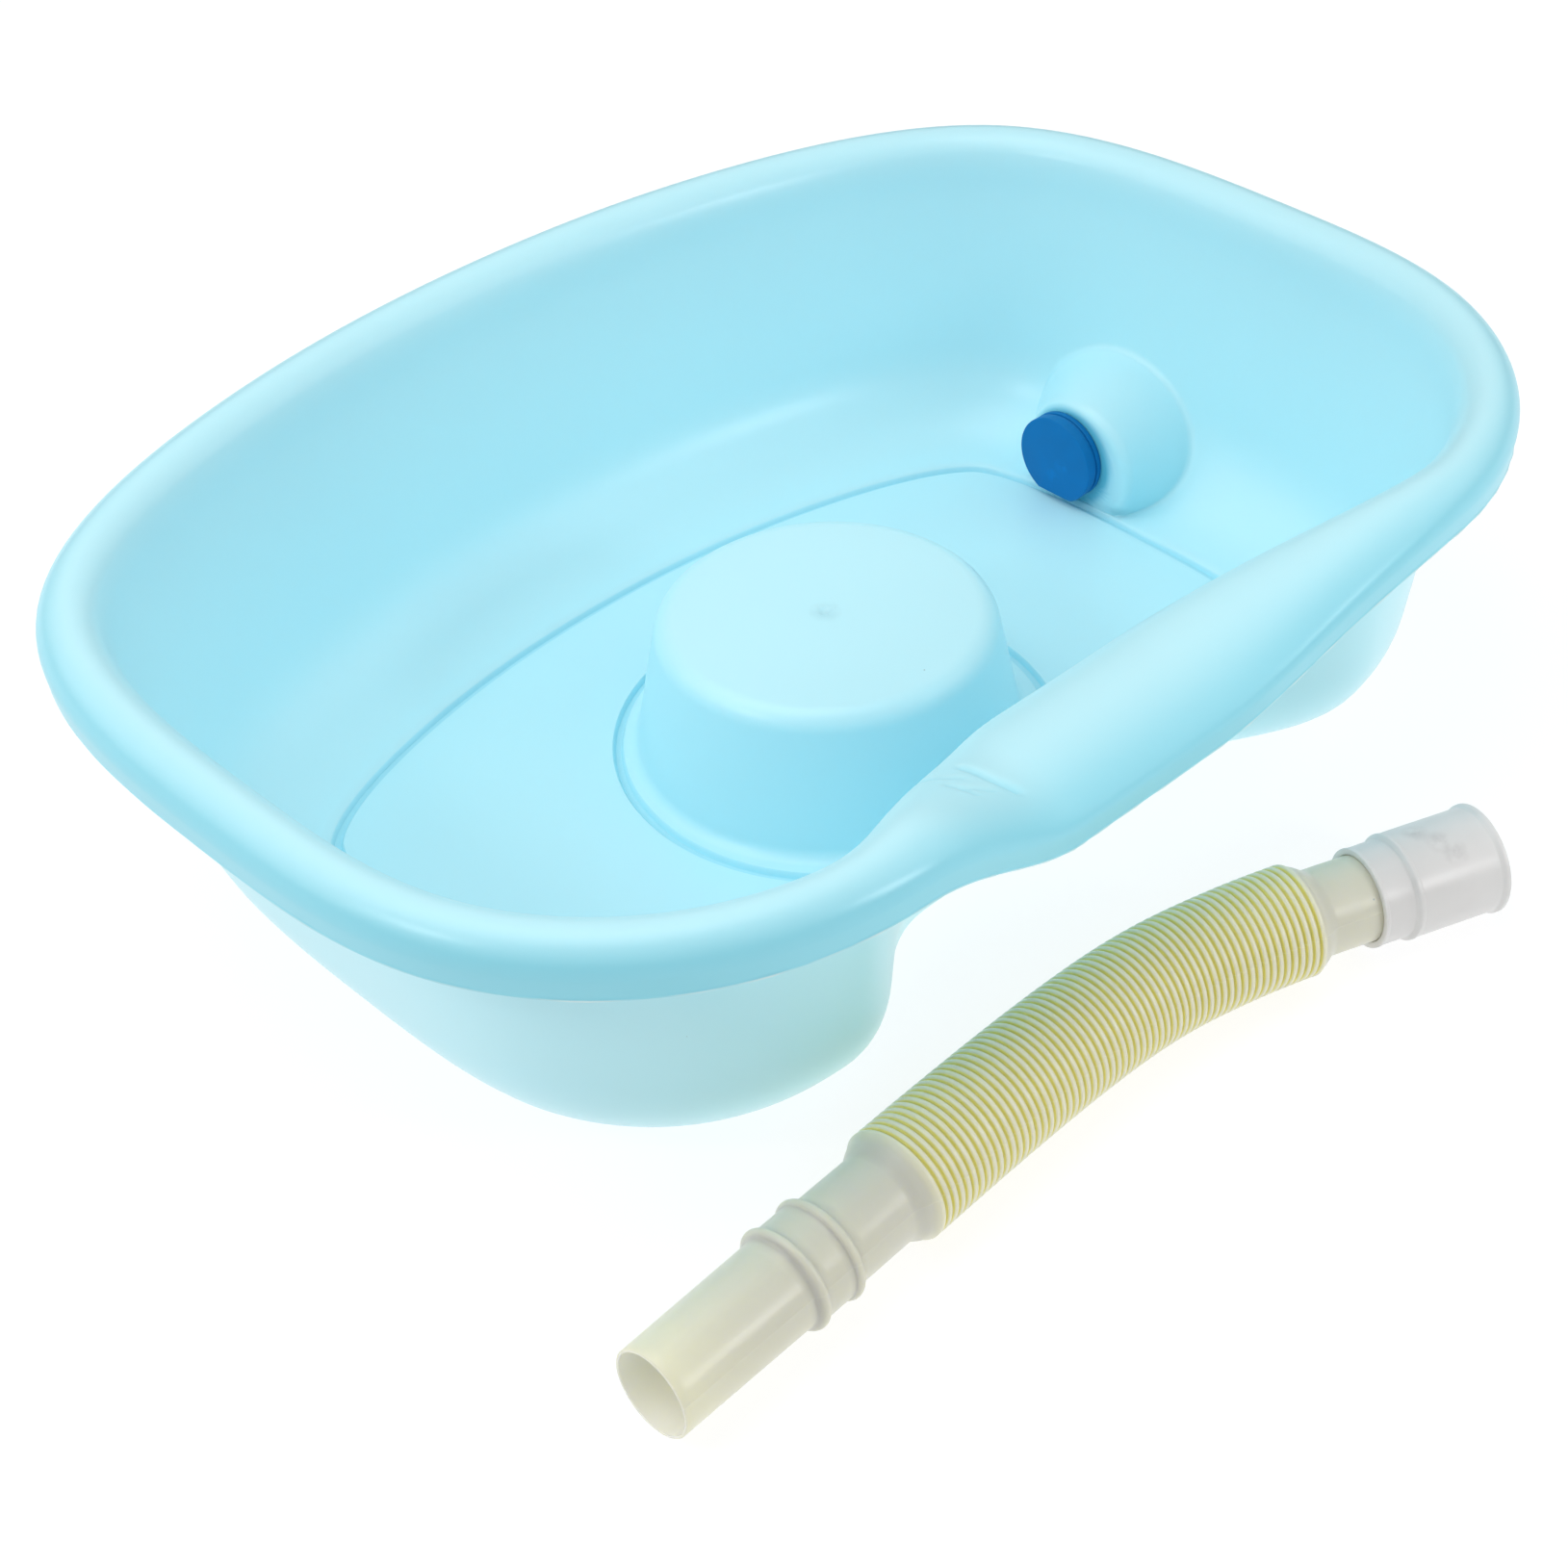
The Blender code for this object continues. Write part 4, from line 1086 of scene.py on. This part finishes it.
def hose_outline(sizes):
    """Outside of the hose as (distance from the plain end, radius, groove share) rows."""
    collar = HOSE_PLAIN_LENGTH
    plain_far = sizes.plain_radius + HOSE_PLAIN_TAPER
    rows = [(0.0, sizes.plain_radius - HOSE_PLAIN_EDGE), (HOSE_PLAIN_EDGE, sizes.plain_radius)]
    rows += [(collar * k / PLAIN_STEPS, mix(sizes.plain_radius, plain_far, k / PLAIN_STEPS))
             for k in range(1, PLAIN_STEPS)]
    rows.append((collar - COLLAR_STEP, plain_far))
    half_bead = COLLAR_BEAD_WIDTH / 2
    first, second = collar + half_bead, collar + COLLAR_LENGTH - half_bead
    rows += bead(first, COLLAR_RADIUS, COLLAR_BEAD_RADIUS, COLLAR_BEAD_WIDTH, BEAD_STEPS)
    rows += [(mix(first + half_bead, second - half_bead, k / COLLAR_STEPS), COLLAR_RADIUS)
             for k in range(1, COLLAR_STEPS)]
    rows += bead(second, COLLAR_RADIUS, COLLAR_BEAD_RADIUS, COLLAR_BEAD_WIDTH, BEAD_STEPS)
    cuff = collar + COLLAR_LENGTH + COLLAR_STEP
    shoulder = collar + COLLAR_LENGTH + CUFF_LENGTH
    rows += [(mix(cuff, shoulder, k / CUFF_STEPS), CUFF_RADIUS) for k in range(CUFF_STEPS)]
    start = shoulder + SHOULDER_LENGTH
    rib_height = sizes.crest_radius - BELLOWS_ROOT
    rows += slope(shoulder, start, CUFF_RADIUS, BELLOWS_ROOT)[:-1]
    rows = [(where, radius, 0.0) for where, radius in rows]
    for rib in range(sizes.ribs):
        shape = RIB_SHAPE[RIB_RISE_ROWS:] if rib == 0 else RIB_SHAPE
        if rib == sizes.ribs - 1:
            shape = shape[:-RIB_FALL_ROWS]
        rows += [(start + (rib + along) * BELLOWS_PITCH, BELLOWS_ROOT + rib_height * up, groove)
                 for along, up, groove in shape]
    end = start + sizes.ribs * BELLOWS_PITCH
    far = end + SHOULDER_LENGTH
    tail = slope(end, far, BELLOWS_ROOT, FAR_CUFF_RADIUS)
    tail += [(far + (FAR_CUFF_SHOWN + FAR_CUFF_HELD) * k / FAR_CUFF_STEPS, FAR_CUFF_RADIUS)
             for k in range(1, FAR_CUFF_STEPS + 1)]
    return rows + [(where, radius, 0.0) for where, radius in tail]


def route_reader():
    """A function that gives the axis point at a distance from the plain end."""
    axis = spline_points(list(reversed(HOSE_ROUTE)), False, ROUTE_FINENESS * len(HOSE_ROUTE))
    run = run_lengths(axis)
    last_way = (axis[-1] - axis[-2]) / np.linalg.norm(axis[-1] - axis[-2])

    def at(where):
        over = max(where - run[-1], 0.0)
        x = np.interp(where, run, axis[:, 0]) + last_way[0] * over
        y = np.interp(where, run, axis[:, 1]) + last_way[1] * over
        return Vector((x, y, (HOSE_LOW.z + HOSE_HIGH.z) / 2))
    return at


def hose_turns():
    """Turns of the places round the hose: even ones, and three close together at each parting line."""
    even = [2 * math.pi * k / HOSE_SIDES for k in range(HOSE_SIDES)]
    clear = [t for t in even if min(abs(t - seam) for seam in SEAM_TURNS) > 2 * SEAM_HALF_WIDTH]
    return sorted(clear + [seam + side * SEAM_HALF_WIDTH for seam in SEAM_TURNS for side in (-1, 0, 1)])


def hose_ring(at, where, radius, seam_height=0.0):
    """Places round the hose's axis at a distance from its plain end."""
    centre = at(max(where, 0.0))
    way = (at(where + HOSE_END_REACH) - at(max(where - HOSE_END_REACH, 0.0))).normalized()
    side = Vector((-way.y, way.x, 0.0))
    slant = HOSE_END_SLANT * math.exp(-where / HOSE_SLANT_REACH)
    places = []
    for turn in hose_turns():
        far = radius + (seam_height if turn in SEAM_TURNS else 0.0)
        place = centre + side * (far * math.cos(turn)) + Vector((0, 0, far * math.sin(turn)))
        places.append(place + way * slant * math.sin(turn + HOSE_SLANT_TURN))
    return places


def build_hose(sizes):
    """The hose's outside and bore as one closed tube, and the centres of its rings."""
    at = route_reader()
    outline = hose_outline(sizes)
    total = outline[-1][0]
    bm = bmesh.new()
    groove_layer = bm.verts.layers.float.new("groove")
    seam_layer = bm.verts.layers.float.new("seam")
    bore_light_layer = bm.verts.layers.float.new("bore")
    outside = [hose_ring(at, where, radius, SEAM_HEIGHT * (1 - groove)) for where, radius, groove in outline]
    rings = loft(bm, start_ring(bm, outside[0]), outside[1:])
    for ring, (where, radius, groove) in zip(rings, outline):
        for vert, turn in zip(ring, hose_turns()):
            vert[groove_layer] = groove
            vert[seam_layer] = 1.0 if turn in SEAM_TURNS else 0.0
    inner = []
    for where, radius, groove in outline[::-1]:
        if groove in (0.0, 1.0):
            inner.append((where, max(min(radius, BELLOWS_ROOT), sizes.plain_radius) - sizes.wall))
    inner_rings = loft(bm, rings[-1], [hose_ring(at, where, bore) for where, bore in inner])
    # The bore is painted lighter, as painted light coming through the hose's wall
    for vert in (vert for ring in inner_rings[1:] for vert in ring):
        vert[bore_light_layer] = 1.0
    bmesh.ops.bridge_loops(bm, edges=ring_edges(bm, inner_rings[-1]) + ring_edges(bm, rings[0]))
    centres = [at(total * k / CENTRE_STEPS) for k in range(CENTRE_STEPS + 1)]
    return bm, centres


def coupling_line():
    """Closed outline of the coupling: (x, radius) pairs from its narrow mouth, outside first."""
    mouth = -FAR_CUFF_HELD
    narrow = mouth + COUPLING_NARROW_LENGTH
    end = mouth + COUPLING_NARROW_LENGTH + COUPLING_WIDE_LENGTH
    grip = FAR_CUFF_RADIUS + SLIP_GAP
    stop = MESH_GAP + COUPLING_STOP
    wide = narrow + COUPLING_WIDE_RADIUS - COUPLING_NARROW_RADIUS
    step_ring = wide + COUPLING_BEAD_WIDTH
    inside = COUPLING_WIDE_RADIUS - COUPLING_WALL
    stop_radius = FAR_CUFF_RADIUS - COUPLING_WALL / 2
    return [
        (mouth, (grip + COUPLING_NARROW_RADIUS) / 2),
        (mouth, COUPLING_NARROW_RADIUS + COUPLING_BEAD),
        (mouth + COUPLING_BEAD_WIDTH, COUPLING_NARROW_RADIUS + COUPLING_BEAD),
        (mouth + COUPLING_BEAD_WIDTH + COUPLING_BEAD, COUPLING_NARROW_RADIUS),
        (narrow, COUPLING_NARROW_RADIUS),
        (wide, COUPLING_WIDE_RADIUS + COUPLING_BEAD),
        (step_ring, COUPLING_WIDE_RADIUS + COUPLING_BEAD),
        (step_ring + COUPLING_BEAD, COUPLING_WIDE_RADIUS),
        (end - COUPLING_FLARE_LENGTH, COUPLING_WIDE_RADIUS),
        (end - COUPLING_FLARE_LENGTH / 2, COUPLING_FLARE_RADIUS),
        (end, COUPLING_FLARE_RADIUS),
        (end, inside),
        (stop, inside),
        (stop, stop_radius),
        (MESH_GAP, stop_radius),
        (MESH_GAP, grip),
        (mouth, grip),
        (mouth, (grip + COUPLING_NARROW_RADIUS) / 2),
    ]


def cuff_end():
    """End of the hose's far cuff on its axis, and the cuff's direction."""
    at = route_reader()
    total = hose_outline(bpy.context.scene.hose_sizes)[-1][0]
    return at(total), (at(total) - at(total - FAR_CUFF_HELD)).normalized()


def build_coupling():
    """Turned adapter over the hose's far cuff, placed on the cuff's axis."""
    bm = bmesh.new()
    turn_about_x(bm, rounded(coupling_line(), COUPLING_EDGE), COUPLING_SIDES)
    place, way = cuff_end()
    matrix = Matrix.Translation(place) @ Matrix.Rotation(math.atan2(way.y, way.x), 4, "Z")
    bmesh.ops.transform(bm, matrix=matrix, verts=bm.verts)
    return bm


# Materials


def feed(tree, node, inputs):
    """Links a node's inputs to sockets, or sets them to values."""
    for key, value in inputs.items():
        if isinstance(value, bpy.types.NodeSocket):
            tree.links.new(value, node.inputs[key])
        else:
            node.inputs[key].default_value = value
    return node


def add_node(tree, kind, inputs=None, **settings):
    """A new node with its settings and then its inputs."""
    node = tree.nodes.new(kind)
    for key, value in settings.items():
        setattr(node, key, value)
    return feed(tree, node, inputs or {})


def maths(tree, operation, *inputs):
    """The result of a node that works on two or three sockets or values."""
    return add_node(tree, "ShaderNodeMath", dict(enumerate(inputs)), operation=operation).outputs[0]


def object_places(tree):
    return add_node(tree, "ShaderNodeTexCoord").outputs["Object"]


def new_material(name):
    """A material with its node tree and its Principled shader."""
    mat = bpy.data.materials.new(name)
    mat.use_nodes = True
    return mat, mat.node_tree, mat.node_tree.nodes["Principled BSDF"]


def moulded_skin_group():
    """Relief and flecks that every moulded piece has: slow waves, fine texture, rare specks."""
    group = bpy.data.node_groups.new("moulded_skin", "ShaderNodeTree")
    for name, default in SKIN_INPUTS:
        socket = group.interface.new_socket(name, in_out="INPUT", socket_type="NodeSocketFloat")
        socket.default_value = default
    for name in ("Height", "Mottle", "Speck"):
        group.interface.new_socket(name, in_out="OUTPUT", socket_type="NodeSocketFloat")
    entry = add_node(group, "NodeGroupInput").outputs
    place = object_places(group)
    waves = add_node(group, "ShaderNodeTexNoise",
                     {"Vector": place, "Scale": entry["Wave Scale"], "Detail": 2.0}).outputs["Fac"]
    skin = add_node(group, "ShaderNodeTexNoise",
                    {"Vector": place, "Scale": entry["Skin Scale"], "Detail": 1.0}).outputs["Fac"]
    specks = add_node(group, "ShaderNodeTexVoronoi",
                      {"Vector": place, "Scale": entry["Speck Scale"]}).outputs
    deep_waves = maths(group, "MULTIPLY", waves, entry["Wave Depth"])
    height = maths(group, "MULTIPLY_ADD", skin, entry["Skin Depth"], deep_waves)
    near = maths(group, "LESS_THAN", specks["Distance"], entry["Speck Size"])
    draws = add_node(group, "ShaderNodeSeparateColor", {0: specks["Color"]}).outputs
    rare = maths(group, "GREATER_THAN", draws[0], SPECK_RARITY)
    add_node(group, "NodeGroupOutput",
             {"Height": height, "Mottle": waves, "Speck": maths(group, "MULTIPLY", near, rare)})
    return group


def add_skin(tree, **values):
    """Places the shared moulded skin in a material with its own values, and gives its outputs."""
    group = bpy.data.node_groups.get("moulded_skin") or moulded_skin_group()
    node = add_node(tree, "ShaderNodeGroup", node_tree=group)
    return feed(tree, node, {key.replace("_", " "): value for key, value in values.items()}).outputs


def mix_colours(tree, factor, first, second):
    """A colour mix: factor, first and second are sockets or values."""
    node = add_node(tree, "ShaderNodeMix", {0: factor, 6: first, 7: second}, data_type="RGBA")
    return node.outputs[2]


def map_range(tree, value, low, high, to_low, to_high):
    return add_node(tree, "ShaderNodeMapRange", {
        "Value": value, "From Min": low, "From Max": high, "To Min": to_low, "To Max": to_high,
    }).outputs["Result"]


def attribute(tree, name):
    return add_node(tree, "ShaderNodeAttribute", attribute_name=name).outputs["Fac"]


def opaque(colour, gain=1.0):
    return tuple(min(c * gain, 1.0) for c in colour) + (1.0,)


def near_place(tree, place, inner, outer, ragged):
    """A mask that is 1 near a place and 0 away from it, with a ragged edge."""
    places = object_places(tree)
    away = add_node(tree, "ShaderNodeVectorMath", {0: places, 1: place}, operation="DISTANCE")
    noise = add_node(tree, "ShaderNodeTexNoise", {"Vector": places, "Scale": 1 / outer, "Detail": 3.0})
    close = map_range(tree, away.outputs["Value"], inner, outer, 1.0, 0.0)
    rags = map_range(tree, noise.outputs["Fac"], 0.5 - ragged, 0.5 + ragged, 0.0, 1.0)
    return maths(tree, "MULTIPLY", close, rags)


def mottled(tree, skin, colour, spread):
    """A colour that the skin's slow waves turn a little darker and lighter."""
    return mix_colours(tree, skin["Mottle"], opaque(colour, 1 - spread), opaque(colour, 1 + spread))


def layered(tree, colour, layers):
    """A colour below others: (mask, strength, colour) rows from the lowest up."""
    for mask, strength, above in layers:
        colour = mix_colours(tree, maths(tree, "MULTIPLY", mask, strength), colour, above)
    return colour


def finish_surface(tree, shader, skin, colour, roughness, relief, rest):
    """Gives the shader its colour, a roughness between two values, a relief of a strength and a
    distance, and the rest of its inputs."""
    strength, distance = relief
    bump = add_node(tree, "ShaderNodeBump",
                    {"Strength": strength, "Distance": distance, "Height": skin["Height"]})
    low, high = roughness
    feed(tree, shader, {
        "Base Color": colour,
        "Roughness": map_range(tree, skin["Mottle"], 0.0, 1.0, low, high),
        "Normal": bump.outputs["Normal"],
    })
    feed(tree, shader, rest)


def basin_material(finishes):
    """Glossy pale polypropylene with slow waves, faint mottling and a few dark specks, painted shade on the
    lip's outer side, in the grooves, in the sink marks and round the plug, and a paler flash with a painted
    edge highlight.
    """
    mat, tree, shader = new_material("basin_cyan_gloss")
    skin = add_skin(tree, Wave_Scale=6.0, Wave_Depth=0.9, Skin_Scale=700.0, Skin_Depth=0.015,
                    Speck_Scale=34.0, Speck_Size=0.013)
    gate = near_place(tree, (0.0, PEDESTAL_Y, PEDESTAL_HEIGHT), inner=0.0012, outer=0.0075, ragged=0.25)
    colour = layered(tree, mottled(tree, skin, finishes.basin, spread=0.03), (
        (gate, 0.30, opaque(finishes.dirt)),
        (skin["Speck"], 0.6, opaque(finishes.dirt)),
        # Painted shade on the lip's outer, lower side
        (attribute(tree, "thick"), 0.85, opaque(finishes.basin_lip_shade)),
        # Painted shade in the grooves and sink marks
        (attribute(tree, "hollow"), 0.6, opaque(finishes.basin_hollow_shade)),
        (attribute(tree, "shade"), 0.8, opaque(finishes.basin_shade)),
        # The flash's paler colour with a painted edge highlight
        (attribute(tree, "flash"), 1.0, opaque(finishes.basin_flash_and_glint)),
    ))
    gloss = finishes.gloss_roughness
    finish_surface(tree, shader, skin, colour, roughness=(gloss - 0.02, gloss + 0.02),
                   relief=(0.22, 0.0015), rest={
                       "IOR": 1.49,
                       "Subsurface Weight": 0.12,
                       "Subsurface Radius": (0.6, 0.9, 1.0),
                       "Subsurface Scale": 0.004,
                   })
    return mat


def plug_material(finishes):
    """Deep blue rubber with faint scuffs on its face."""
    mat, tree, shader = new_material("plug_blue_rubber")
    skin = add_skin(tree, Wave_Scale=60.0, Wave_Depth=0.4, Skin_Scale=1500.0, Skin_Depth=0.2,
                    Speck_Scale=420.0, Speck_Size=0.10)
    face_x = BOSS_FACE_X - PLUG_FRONT_THICKNESS - PLUG_GROOVE_WIDTH - PLUG_FLANGE_THICKNESS
    places = [(face_x, DRAIN_Y + beside, DRAIN_Z + up) for beside, up in PLUG_SCUFFS]
    scuffs = [near_place(tree, place, inner=0.0005, outer=0.0045, ragged=0.12) for place in places]
    colour = layered(tree, mottled(tree, skin, finishes.plug, spread=0.12),
                     [(scuff, 0.35, opaque(finishes.plug, gain=1.9)) for scuff in scuffs])
    finish_surface(tree, shader, skin, colour, roughness=(0.42, 0.58), relief=(0.2, 0.0004),
                   rest={"Specular IOR Level": 0.18})
    return mat


def hose_material(finishes):
    """Satin cream polyethylene with light parting lines, a painted yellow shade between the ribs and painted
    light in the bore.
    """
    mat, tree, shader = new_material("hose_cream_satin")
    skin = add_skin(tree, Wave_Scale=40.0, Wave_Depth=0.5, Skin_Scale=1200.0, Skin_Depth=0.10,
                    Speck_Scale=90.0, Speck_Size=0.035)
    # The grooves between the ribs get a painted yellow shade
    groove = map_range(tree, attribute(tree, "groove"), 0.2, 0.8, 0.0, 1.0)
    colour = mix_colours(tree, groove, opaque(finishes.hose), opaque(finishes.hose_groove_shade))
    colour = layered(tree, colour, (
        (skin["Mottle"], 0.12, opaque(finishes.hose_groove_shade)),
        # Painted light in the bore
        (attribute(tree, "bore"), 1.0, opaque(finishes.hose_bore_light)),
        (attribute(tree, "seam"), 0.25, opaque(finishes.hose, gain=1.2)),
        (skin["Speck"], 0.5, opaque(finishes.dirt)),
    ))
    finish_surface(tree, shader, skin, colour, roughness=(0.28, 0.42), relief=(0.25, 0.0005), rest={
        "Subsurface Weight": 0.7,
        "Subsurface Radius": (1.0, 0.95, 0.6),
        "Subsurface Scale": 0.006,
    })
    return mat


def coupling_material(finishes):
    """Milky soft plastic with a few grey smudges."""
    mat, tree, shader = new_material("coupling_milky_soft")
    skin = add_skin(tree, Wave_Scale=70.0, Wave_Depth=0.5, Skin_Scale=1300.0, Skin_Depth=0.12,
                    Speck_Scale=200.0, Speck_Size=0.04)
    end, way = cuff_end()
    side = Vector((way.y, -way.x, 0.0))
    layers = []
    for along, beside, up in COUPLING_SMUDGES:
        place = end + way * along + side * beside + Vector((0, 0, up))
        smudge = near_place(tree, tuple(place), inner=0.0005, outer=0.006, ragged=0.12)
        layers.append((smudge, 0.45, opaque(finishes.smudge)))
    colour = layered(tree, mottled(tree, skin, finishes.coupling, spread=0.04), layers)
    finish_surface(tree, shader, skin, colour, roughness=(0.285, 0.42), relief=(0.2, 0.0004), rest={
        "Transmission Weight": 0.12,
        "Subsurface Weight": 0.3,
        "Subsurface Radius": (0.9, 1.0, 1.0),
        "Subsurface Scale": 0.004,
    })
    return mat


def floor_material(studio):
    """Pale seamless paper that looks white but lights the object less than it looks."""
    mat, tree, shader = new_material("studio_floor")
    grain = add_node(tree, "ShaderNodeTexNoise",
                     {"Vector": object_places(tree), "Scale": FLOOR_GRAIN_SCALE}).outputs["Fac"]
    seen = add_node(tree, "ShaderNodeLightPath").outputs["Is Camera Ray"]
    feed(tree, shader, {
        "Base Color": mix_colours(tree, grain, opaque(studio.floor, FLOOR_SHADE * FLOOR_GRAIN_SHADE),
                                  opaque(studio.floor, FLOOR_SHADE)),
        "Emission Color": mix_colours(tree, seen, opaque(studio.floor, studio.floor_bounce),
                                      opaque(studio.floor, FLOOR_SEEN)),
        "Emission Strength": 1.0,
        "Roughness": 1.0,
        "Specular IOR Level": 0.0,
    })
    return mat


# Stage


def camera_matrix():
    """The camera's place and turn, from its target, bearing, rise and roll."""
    back = Vector((math.sin(CAMERA_BEARING) * math.cos(CAMERA_RISE),
                   -math.cos(CAMERA_BEARING) * math.cos(CAMERA_RISE), math.sin(CAMERA_RISE)))
    level = Vector((math.cos(CAMERA_BEARING), math.sin(CAMERA_BEARING), 0.0))
    up = back.cross(level)
    right = level * math.cos(CAMERA_ROLL) + up * math.sin(CAMERA_ROLL)
    up = up * math.cos(CAMERA_ROLL) - level * math.sin(CAMERA_ROLL)
    matrix = Matrix((right, up, back)).transposed().to_4x4()
    matrix.translation = Vector(CAMERA_TARGET) + back * CAMERA_DISTANCE
    return matrix


def add_camera():
    camera = bpy.data.cameras.new("photo_camera")
    camera.sensor_width = CAMERA_SENSOR
    camera.sensor_fit = "HORIZONTAL"
    camera.lens = CAMERA_LENS
    camera.shift_x, camera.shift_y = CAMERA_SHIFT
    obj = bpy.data.objects.new("photo_camera", camera)
    obj.matrix_world = camera_matrix()
    bpy.context.scene.collection.objects.link(obj)
    bpy.context.scene.camera = obj


def add_area_light(name, place, size, power):
    """A round soft light that looks at the middle of the basin."""
    light = bpy.data.lights.new(name, "AREA")
    light.shape = "DISK"
    light.size = size
    light.energy = power
    obj = bpy.data.objects.new(name, light)
    obj.location = place
    obj.rotation_euler = (Vector(CAMERA_TARGET) - Vector(place)).to_track_quat("-Z", "Y").to_euler()
    bpy.context.scene.collection.objects.link(obj)


def add_surround(strength):
    """A surround that lights from above, is dark along the horizon and looks white."""
    world = bpy.data.worlds.new("white_surround")
    world.use_nodes = True
    tree = world.node_tree
    seen = add_node(tree, "ShaderNodeLightPath").outputs["Is Camera Ray"]
    way = add_node(tree, "ShaderNodeTexCoord").outputs["Generated"]
    height = add_node(tree, "ShaderNodeSeparateXYZ", {0: way}).outputs["Z"]
    lit = map_range(tree, height, HORIZON[0], HORIZON[1], 0.0, strength)
    colour = mix_colours(tree, seen, lit, (1, 1, 1, 1))
    tree.links.new(colour, tree.nodes["Background"].inputs["Color"])
    bpy.context.scene.world = world


class BASIN_OT_stage(bpy.types.Operator):
    """Makes the camera, the pale floor, the white surround and the soft lights"""
    bl_idname = "shampoo_basin.make_stage"
    bl_label = "Make Stage"

    def execute(self, context):
        studio = context.scene.studio_settings
        add_camera()
        bm = bmesh.new()
        bmesh.ops.create_grid(bm, x_segments=2, y_segments=2, size=FLOOR_HALF_SIZE)
        finish_piece("studio_floor", bm, floor_material(studio))
        add_surround(studio.surround)
        context.scene.view_settings.view_transform = "Standard"
        for name, setting, place, size in LIGHTS:
            add_area_light(name, place, size, getattr(studio, setting))
        return {"FINISHED"}


class BASIN_OT_coupling(bpy.types.Operator):
    """Makes the milky coupling on the hose's far cuff"""
    bl_idname = "shampoo_basin.make_coupling"
    bl_label = "Make Coupling"

    def execute(self, context):
        coupling = finish_piece("milky_coupling", build_coupling(),
                                coupling_material(context.scene.finishes), sharp_angle=35)
        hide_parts("hose_coupling")
        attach(coupling, "coupling")
        return {"FINISHED"}


class BASIN_OT_hose(bpy.types.Operator):
    """Makes the ribbed drain hose along its route on the table, into the coupling"""
    bl_idname = "shampoo_basin.make_hose"
    bl_label = "Make Hose"

    def execute(self, context):
        sizes = context.scene.hose_sizes
        bm, centres = build_hose(sizes)
        hose = finish_piece("ribbed_hose", bm, hose_material(context.scene.finishes), sharp_angle=60)
        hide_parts("drain_hose")
        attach(hose, "hose")
        tuple(cuff_end()[0])
        [tuple(c) for c in reversed(centres)]
        return {"FINISHED"}


class BASIN_OT_plug(bpy.types.Operator):
    """Makes the rubber plug in the drain's bore"""
    bl_idname = "shampoo_basin.make_plug"
    bl_label = "Make Plug"

    def execute(self, context):
        plug = finish_piece("rubber_plug", build_plug(context.scene.plug_sizes),
                            plug_material(context.scene.finishes), sharp_angle=35)
        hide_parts("drain_plug")
        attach(plug, "plug")
        return {"FINISHED"}


class BASIN_OT_shell(bpy.types.Operator):
    """Makes the moulded shell with its lip, neck rest, pedestal and drain boss"""
    bl_idname = "shampoo_basin.make_shell"
    bl_label = "Make Shell"

    def execute(self, context):
        shell = finish_piece("moulded_shell", build_shell(context.scene.basin_sizes),
                             basin_material(context.scene.finishes), sharp_angle=50)
        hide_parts("basin_shell")
        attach(shell, "basin")
        return {"FINISHED"}


class BASIN_PT_panel(bpy.types.Panel):
    """Lists the basin's sizes, colours and steps"""
    bl_idname = "BASIN_PT_panel"
    bl_label = "Shampoo Basin"
    bl_space_type = "VIEW_3D"
    bl_region_type = "UI"
    bl_category = "Basin"

    def draw(self, context):
        for group in SETTINGS:
            box = self.layout.box()
            settings = getattr(context.scene, group)
            for key in settings.bl_rna.properties.keys():
                if key not in ("rna_type", "name"):
                    box.prop(settings, key)
        for step in STEPS:
            self.layout.operator(step.bl_idname)


SETTINGS = {
    "basin_sizes": BasinSizes,
    "hose_sizes": HoseSizes,
    "plug_sizes": PlugSizes,
    "finishes": Finishes,
    "studio_settings": StudioSettings,
}
STEPS = (BASIN_OT_stage, BASIN_OT_coupling, BASIN_OT_hose, BASIN_OT_plug, BASIN_OT_shell)


def register():
    for name, group in SETTINGS.items():
        bpy.utils.register_class(group)
        setattr(bpy.types.Scene, name, PointerProperty(type=group))
    for cls in STEPS + (BASIN_PT_panel,):
        bpy.utils.register_class(cls)


def unregister():
    for cls in (BASIN_PT_panel,) + STEPS[::-1]:
        bpy.utils.unregister_class(cls)
    for name, group in SETTINGS.items():
        delattr(bpy.types.Scene, name)
        bpy.utils.unregister_class(group)


def main():
    register()
    bpy.ops.shampoo_basin.make_stage()
    bpy.ops.shampoo_basin.make_coupling()
    bpy.ops.shampoo_basin.make_hose()
    bpy.ops.shampoo_basin.make_plug()
    bpy.ops.shampoo_basin.make_shell()


if __name__ == "__main__":
    main()
